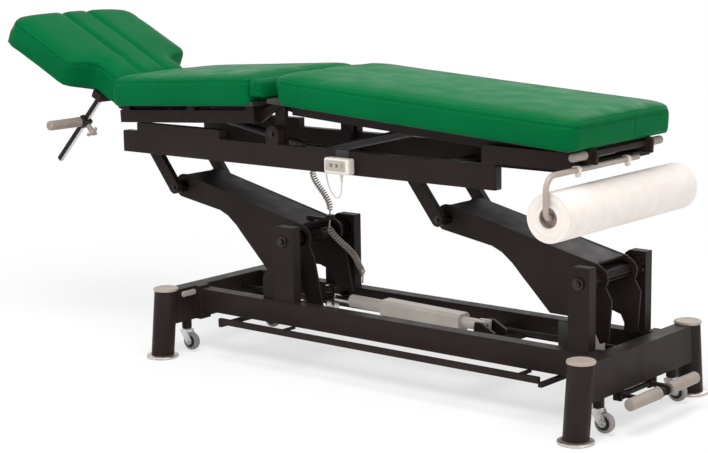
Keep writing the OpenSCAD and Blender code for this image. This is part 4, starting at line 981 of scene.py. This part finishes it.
def make_leg_trim():
    """Caps with a raised rim, the oval plug of the head crossbeam, and foot rings."""
    cap = [(0, 6.6), (24, 6.6), (26, 7.0), (27.5, 8), (31, 8), (33.6, 7.1), (35, 5), (35, 1.2),
           (34.2, 0), (0, 0)]
    parts = [turned_at(cap, (ex * LEG_X, sy * LEG_Y, LEG_H), "z", 64)
             for ex in ENDS for sy in SIDES]
    parts.append(plate_at(rounded(56, 16, 7.9, 8), (-CROSSBEAM_X, -186, 172), 0.0, 6, 2.2, "x"))
    piece("leg_cap_mouldings", parts, "taupe_plastic", "base", ["leg_caps"])
    ring = [(0, 0), (42, 0), (44.2, 1), (45, 3), (45, 5), (43.8, 7.2), (40.5, 8.7), (36, 9), (0, 9)]
    parts = [turned_at(ring, (ex * LEG_X, sy * (LEG_Y + LEAN), 0), "z", 64)
             for ex in ENDS for sy in SIDES]
    piece("foot_ring_turnings", parts, "satin_ring", "base", ["foot_rings"])


def make_roll():
    """Paper roll: its wound end faces ripple and drift with the radius, and the free edge lies
    tangent."""
    centre, half, r_out, r_core = (621, 0, 529), 295, 59.4, 24.6
    r = np.linspace(r_core, r_out - 0.8, 64)
    drift = 0.35 * np.sin(r * 0.33) + 0.12 * np.sin(r * 1.13 + 1)
    ripple = 0.10 * np.sin(r * 2 * pi / 1.15)
    face = half - 1.3 + drift + ripple
    wall = [(r_out - 0.2, -face[-1] + 0.6), (r_out, -half + 4), (r_out, half - 4),
            (r_out - 0.2, face[-1] - 0.6)]
    profile = ([(r_core, 0)] + list(zip(r, -face)) + wall + list(zip(r[::-1], face[::-1]))
               + [(r_core, 0)])
    wound = turned_at(profile, centre, "y", 120, capped=False)
    a = np.linspace(radians(-60), radians(24), 30)[:, None]
    rr = r_out + 0.12 + 0.5 * np.clip((a - radians(-10)) / radians(34), 0, 1) ** 2
    y = np.linspace(-half + 1.5, half - 1.5, 40)[None, :]
    wave = 0.10 * np.sin(y / 23.0) + 0.06 * np.sin(y / 9.0 + 1)

    def sheet(at):
        return np.stack([np.cos(a) * at, y + 0 * a, np.sin(a) * at], -1)

    flap = skin(np.concatenate([sheet(rr + wave), sheet(rr + wave - 0.22)[:, ::-1]], 1))
    piece("paper_windings", [wound, (flap[0] + np.array(centre), flap[1])], "crepe_paper",
          "paper_roll", ["paper_roll"], smooth=50)
    tube = [(22.1, -half + 1), (24.3, -half + 1), (24.5, -half + 2), (24.5, half - 2),
            (24.3, half - 1), (22.1, half - 1), (22.1, -half + 1)]
    piece("roll_core", [turned_at(tube, centre, "y", 96, capped=False)], "core_card", "paper_roll")


CASTER_Y, WHEEL_TRAIL, WHEEL_Z, HUB_RIBS = 172, 18, 29, 6


def make_casters():
    """Casters: a tyre, a ribbed hub, and a pressed fork under its bearing dome."""
    w = np.linspace(-pi / 2, pi / 2, 15)
    tread = [(20.4 + 4.6 * cos(a) ** 0.55, 9.6 * sin(a)) for a in w[1:-1]]
    tyre = [(17.2, -8.6), (19.6, -9.9)] + tread + [(19.6, 9.9), (17.2, 8.6), (17.2, -8.6)]
    hub = [(3.2, -9.8), (6.4, -9.8), (7, -9.2), (7.4, -6.4), (14.2, -6.0), (15.4, -8.2),
           (17.1, -8.6), (17.1, 8.6), (15.4, 8.2), (14.2, 6.0), (7.4, 6.4), (7, 9.2), (6.4, 9.8),
           (3.2, 9.8), (3.2, -9.8)]
    cheek = np.array([(-13.5, 61.5), (-14, 54), (2, 33), (8, 24.5), (14, 20.5), (21, 20.5),
                      (26, 25), (27, 31), (22, 42), (13.5, 55), (12.5, 61.5)])[::-1]
    dome = [(0, 61), (12.2, 61), (13.6, 62), (13.6, 63.6), (11.5, 65.3), (5, 65.5), (5, 90),
            (0, 90)]
    axle = [(0, -14.2), (2.9, -14.2), (2.9, 14.2), (0, 14.2)]
    for ex, end in END_NAMES:
        for sy, side in SIDE_NAMES:
            x, y, at = ex * LEG_X, sy * CASTER_Y, f"{end}_{side}"
            wheel = (x + WHEEL_TRAIL, y, WHEEL_Z)
            piece("tyre_" + at, [turned_at(tyre, wheel, "y", 60, capped=False)], "grey_tyre",
                  "wheel_" + at, ["wheel_" + at])
            parts = [turned_at(hub, wheel, "y", 48, capped=False)]
            for k in range(HUB_RIBS):
                w = k * 2 * pi / HUB_RIBS
                rib, faces = plate_at(rounded(6.4, 2, 0.8, 3), (10.6, 0, 0), -7.6, 7.6, 0.4)
                turn = np.array([[cos(w), 0, sin(w)], [0, 1, 0], [-sin(w), 0, cos(w)]])
                parts.append((rib @ turn + wheel, faces))
            piece("hub_" + at, parts, "black_plastic", "wheel_" + at, slot="grey_tyre")
            parts = [plate_at(cheek, (x, y + s * 12.2, 0), -1.2, 1.2, 0.5) for s in SIDES]
            parts.append(plate_at(rounded(26, 26.4, 5), (x - 0.3, y, 0), 60.2, 62.6, 0.6, "z"))
            parts.append(turned_at(dome, (x, y, 0), "z", 40))
            parts.append(turned_at(axle, wheel, "y", 20))
            for s in SIDES:
                nut = [(0, s * 13.4), (5, s * 13.4), (5.2, s * 14), (4.6, s * 15.6), (2, s * 16.2),
                       (0, s * 16.3)]
                parts.append(turned_at(nut, wheel, "y", 24))
            piece("fork_pressing_" + at, parts, "zinc_plate", "fork_" + at, ["fork_" + at])


PEDAL_BAR, PEDAL_AXLE = (760, 0, 78), (697, 0, 78)


def make_pedal():
    """Pedal: a cross bar on two levers, with long rubber grips that leave a gap in the middle."""
    rod = [(0, -114), (6, -114), (7, -113), (7, 65), (6, 66), (0, 66)]
    parts = [turned_at(rod, PEDAL_AXLE, "y", 32)]
    boss = [(0, -8), (11, -8), (12, -7), (12, 7), (11, 8), (0, 8)]
    collar = [(0, -4), (12.5, -4), (13, -3), (13, 3), (12.5, 4), (0, 4)]
    for y in (-89, 45):
        parts.append(plate_at(rounded(72, 8, 3), (728.5, y, 78), -7, 7, 1.5))
        parts.append(turned_at(boss, (697, y, 78), "y", 36))
    parts.append(turned_at([(0, -150), (8, -150), (8, 150), (0, 150)], PEDAL_BAR, "y", 32))
    parts += [turned_at(collar, (760, y, 78), "y", 36) for y in (-13, 13)]
    piece("pedal_bar", parts, "powder_coat", "pedal", ["pedal"], slot="taupe_plastic")
    grips("pedal_grip_", "pedal", 25, 158, 15.6, PEDAL_BAR, 56)


RELEASE_BAR = (957, 0, 75)


def make_release_bar():
    """Release bar across the foot end with a short grip at each end."""
    rod = turned_at([(0, -202), (9, -202), (9, 202), (0, 202)], RELEASE_BAR, "y", 36, in_long)
    piece("release_tube", [rod], "powder_coat", "release_bar", ["release_bar"])
    grips("release_grip_", "release_bar", 146, 204, 10.6, RELEASE_BAR, 40, in_long)


CLAMP_DOWN = np.array([0, 0, -98.0])


def make_hand_grip():
    """Hand grip: a clamp on the square bar, a rubber grip, a winged knob, and the bar in black with
    two bright strips; the bar's black is a painted dark reflection on its chrome."""
    def to(p):
        return on_grip(np.asarray(p) + CLAMP_DOWN)

    middle = (0, 0, 0)
    walls = ((-11.7, 0, 6.6, 30), (11.7, 0, 6.6, 30), (0, -11.7, 17, 6.6), (0, 11.7, 17, 6.6))
    parts = [plate_at(rounded(wide, deep, 2.2, 4), (cx, cy, 0), -13, 13, 1.4, "z", to)
             for cx, cy, wide, deep in walls]
    collar = [(0, -15), (11, -15), (13.5, -17), (13.5, -24), (12, -25), (0, -25)]
    parts.append(turned_at(collar, middle, "y", 40, to))
    piece("clamp_housing", parts, "black_plastic", "grip_clamp", ["grip_clamp"],
          slot="taupe_plastic")
    piece("hand_grip_rubber", [turned_at(grip_profile(-22, -140, 14.6), middle, "y", 56, to)],
          "taupe_rubber", "grip_clamp")
    stem = [(0, 8.6), (4.9, 8.6), (4.9, 17), (7.4, 18.5), (8.6, 40), (9.4, 42), (9.4, 48),
            (7.5, 50), (0, 50)]
    w = angles(96)
    lobes = 9.2 + 11.6 * np.abs(np.cos(1.5 * (w - pi / 2))) ** 2.4
    wing = np.stack([lobes * np.cos(w), lobes * np.sin(w)], 1)
    knob = [turned_at(stem, middle, "x", 32, to), plate_at(wing, middle, 41.2, 49.4, 3, "x", to)]
    piece("wing_knob", knob, "taupe_plastic", "clamp_knob", ["clamp_knob"])
    # the bar's black is a painted dark reflection: on the chrome bar the front and back faces look
    # dark, and the two side strips keep the chrome
    core = [plate_at(rounded(14.4, 16, 1.6, 3), middle, -268, 1, 0.8, "z", on_grip)]
    piece("grip_bar_painted_dark_reflection", core, "powder_coat", "head_section", ["grip_bar"])
    strips = [plate_at(rounded(0.9, 12.6, 0.4, 3), (s * 7.5, 0, 0), -264, -1, 0.2, "z", on_grip)
              for s in SIDES]
    piece("grip_bar_strips", strips, "bright_chrome", "head_section")


def make_handset():
    """Handset: a shell with a panel, two domed keys with arrows, a strain relief and a hook."""
    shell = [plate_at(rounded(84, 42, 6.5, 7), (-89, 0, 581), -205, -179, 4.2)]
    hook = [plate_at(rounded(44, 3, 1.2, 4), (-89, -170, 619.6), -8, 8, 1.0),
            plate_at(rounded(44, 20, 1.2, 4), (-89, -178.6, 611), -0.5, 0.6, 0.3)]
    piece("handset_hook", hook, "black_plastic", "upper_frame")
    low, high = 538, 561
    z = np.linspace(low, high, 47)
    r = 2.6 + (z - low) / (high - low) * 2.2 + 0.45 * (np.sin(z * 2 * pi / 3.8) > 0)
    relief = [(0, low)] + list(zip(r, z)) + [(0, high)]
    shell.append(turned_at(relief, (-82, -192, 0), "z", 28))
    piece("handset_shell", shell, "cream_plastic", "upper_frame", ["handset"])
    panel = plate_at(rounded(66, 28, 3.5, 6), (-91, -205, 582.5), -0.5, 0.5, 0.3)
    piece("handset_panel", [panel], "panel_film", "upper_frame")
    dome = [(0, -207), (2.4, -206.9), (4.1, -206.4), (4.8, -205.5), (5, -204), (5, -199.2),
            (0, -199.2)]
    for name, x, up in (("up_button", -106, 1), ("down_button", -88, -1)):
        piece(name + "_key", [turned_at(dome, (x, 0, 583), "y", 36)], "key_dark", name, [name])
        arrow = np.array([(-2.1, -1.1 * up), (2.1, -1.1 * up), (0, 2.1 * up)])[::up]
        piece(name + "_arrow", [plate_at(arrow, (x, -206.9, 583), -0.35, 0.35, 0.1)],
              "cream_plastic", name, slot="black_steel")
    marks = [plate_at(rounded(9, 1.1, 0.5, 3), (-70, -205.6, 579 + 5 * k), -0.2, 0.2, 0.08)
             for k in range(3)]
    piece("panel_marks", marks, "printed_symbol", "upper_frame")


def make_fasteners():
    """Bolts at the pivots and hinges, end plugs of the beams, and the weld beads of the base."""
    def bolts(rows):
        """Bolts on both sides, for rows of x, y, z and radius."""
        return [part for x, y, z, r in rows for s in SIDES for part in bolt((x, s * y, z), r, s)]

    pivots = [(x, 150, PIVOT_Z, 9.5) for x in (HEAD_PIVOT_X, FOOT_PIVOT_X)]
    piece("pivot_bolts", bolts(pivots), "blackened_bolt", "base")
    hinges = [(-335, 178, 645, 8), (-779.7, 112, 453.1, 6.5), (165.3, 112, 453.1, 6.5)]
    piece("frame_bolts", bolts(hinges), "blackened_bolt", "upper_frame")
    plugs = []
    for s in SIDES:
        for x, out in ((-912, -1), (392, 1)):
            low, high = sorted([0, out * 2.2])
            outline = rounded(23, 58, 2.5, 4)
            plugs.append(plate_at(outline, (x, s * 165, 587.5), low, high, 0.9, "x"))
    piece("beam_plugs", plugs, "black_plastic", "upper_frame")
    beads = []
    for x, w in ((HEAD_PIVOT_X, 37), (FOOT_PIVOT_X, 30)):
        for s in SIDES:
            near, far = s * POST_IN, s * POST_OUT
            for y in (far, near):
                beads.append(weld([(x - w, y, BEAM_TOP), (x + w, y, BEAM_TOP)]))
            for e in ENDS:
                beads.append(weld([(x + e * w, near, BEAM_TOP), (x + e * w, far, BEAM_TOP)]))
    for e in ENDS:
        for s in SIDES:
            x, y = e * (CROSSBEAM_X - 18), s * 155.4
            beads.append(weld([(x, y, 119), (x, y, BEAM_TOP), (x, s * POST_IN, BEAM_TOP)], 2.2))
            beads.append(weld([(e * CROSSBEAM_X, s * 157, z) for z in (96, 186)], 2.2))
    piece("base_welds", beads, "powder_coat", "base", smooth=80)


def make_gland():
    """Ribbed gland where the upper curly cord meets the upper frame."""
    z = np.linspace(547, 557, 33)
    profile = [(0, 547)] + [(5.2 + 0.5 * (np.sin(v * 2 * pi / 2.5) > 0), v) for v in z] + [(0, 557)]
    piece("cord_gland_top", [turned_at(profile, (-320, -30, 0), "z", 32)], "black_plastic",
          "upper_frame", slot="cord")


def make_control_box():
    """Control box: a case with a lid and cooling slots, coloured black as painted shade, and a
    light end cover.
    """
    y, z, lid = -30, 176, 226.2
    case = [plate_at(rounded(51, 101, 5, 6), (494, y, z), 0, 92, 2.5, "x")]
    case.append(plate_at(rounded(78, 38, 4, 5), (541, y, lid), -0.6, 0.8, 0.4, "z"))
    case += [plate_at(rounded(3, 30, 1.4, 3), (518 + 8 * k, y, 227), -0.2, 0.2, 0.1, "z")
             for k in range(7)]
    # the case's black is painted shade for the shadow under the frame; its slot keeps the box's
    # light finish
    piece("control_case_painted_shade", case, "black_plastic", "base", ["control_box"], slot="taupe_plastic")
    screw = [(0, 0), (3, 0), (3, 0.4), (2.4, 0.6), (0, 0.6)]
    cover = [plate_at(rounded(52, 102, 5, 6), (586, y, z), 0, 13.4, 2.5, "x")]
    cover += [turned_at(screw, (599.2, y + sy * 20, z + sz * 44), "x", 20)
              for sy in SIDES for sz in (-1, 1)]
    piece("control_cover", cover, "grey_housing", "base")


for make in (make_leg_trim, make_roll, make_casters, make_pedal, make_release_bar, make_hand_grip,
             make_handset, make_fasteners, make_gland, make_control_box):
    make()
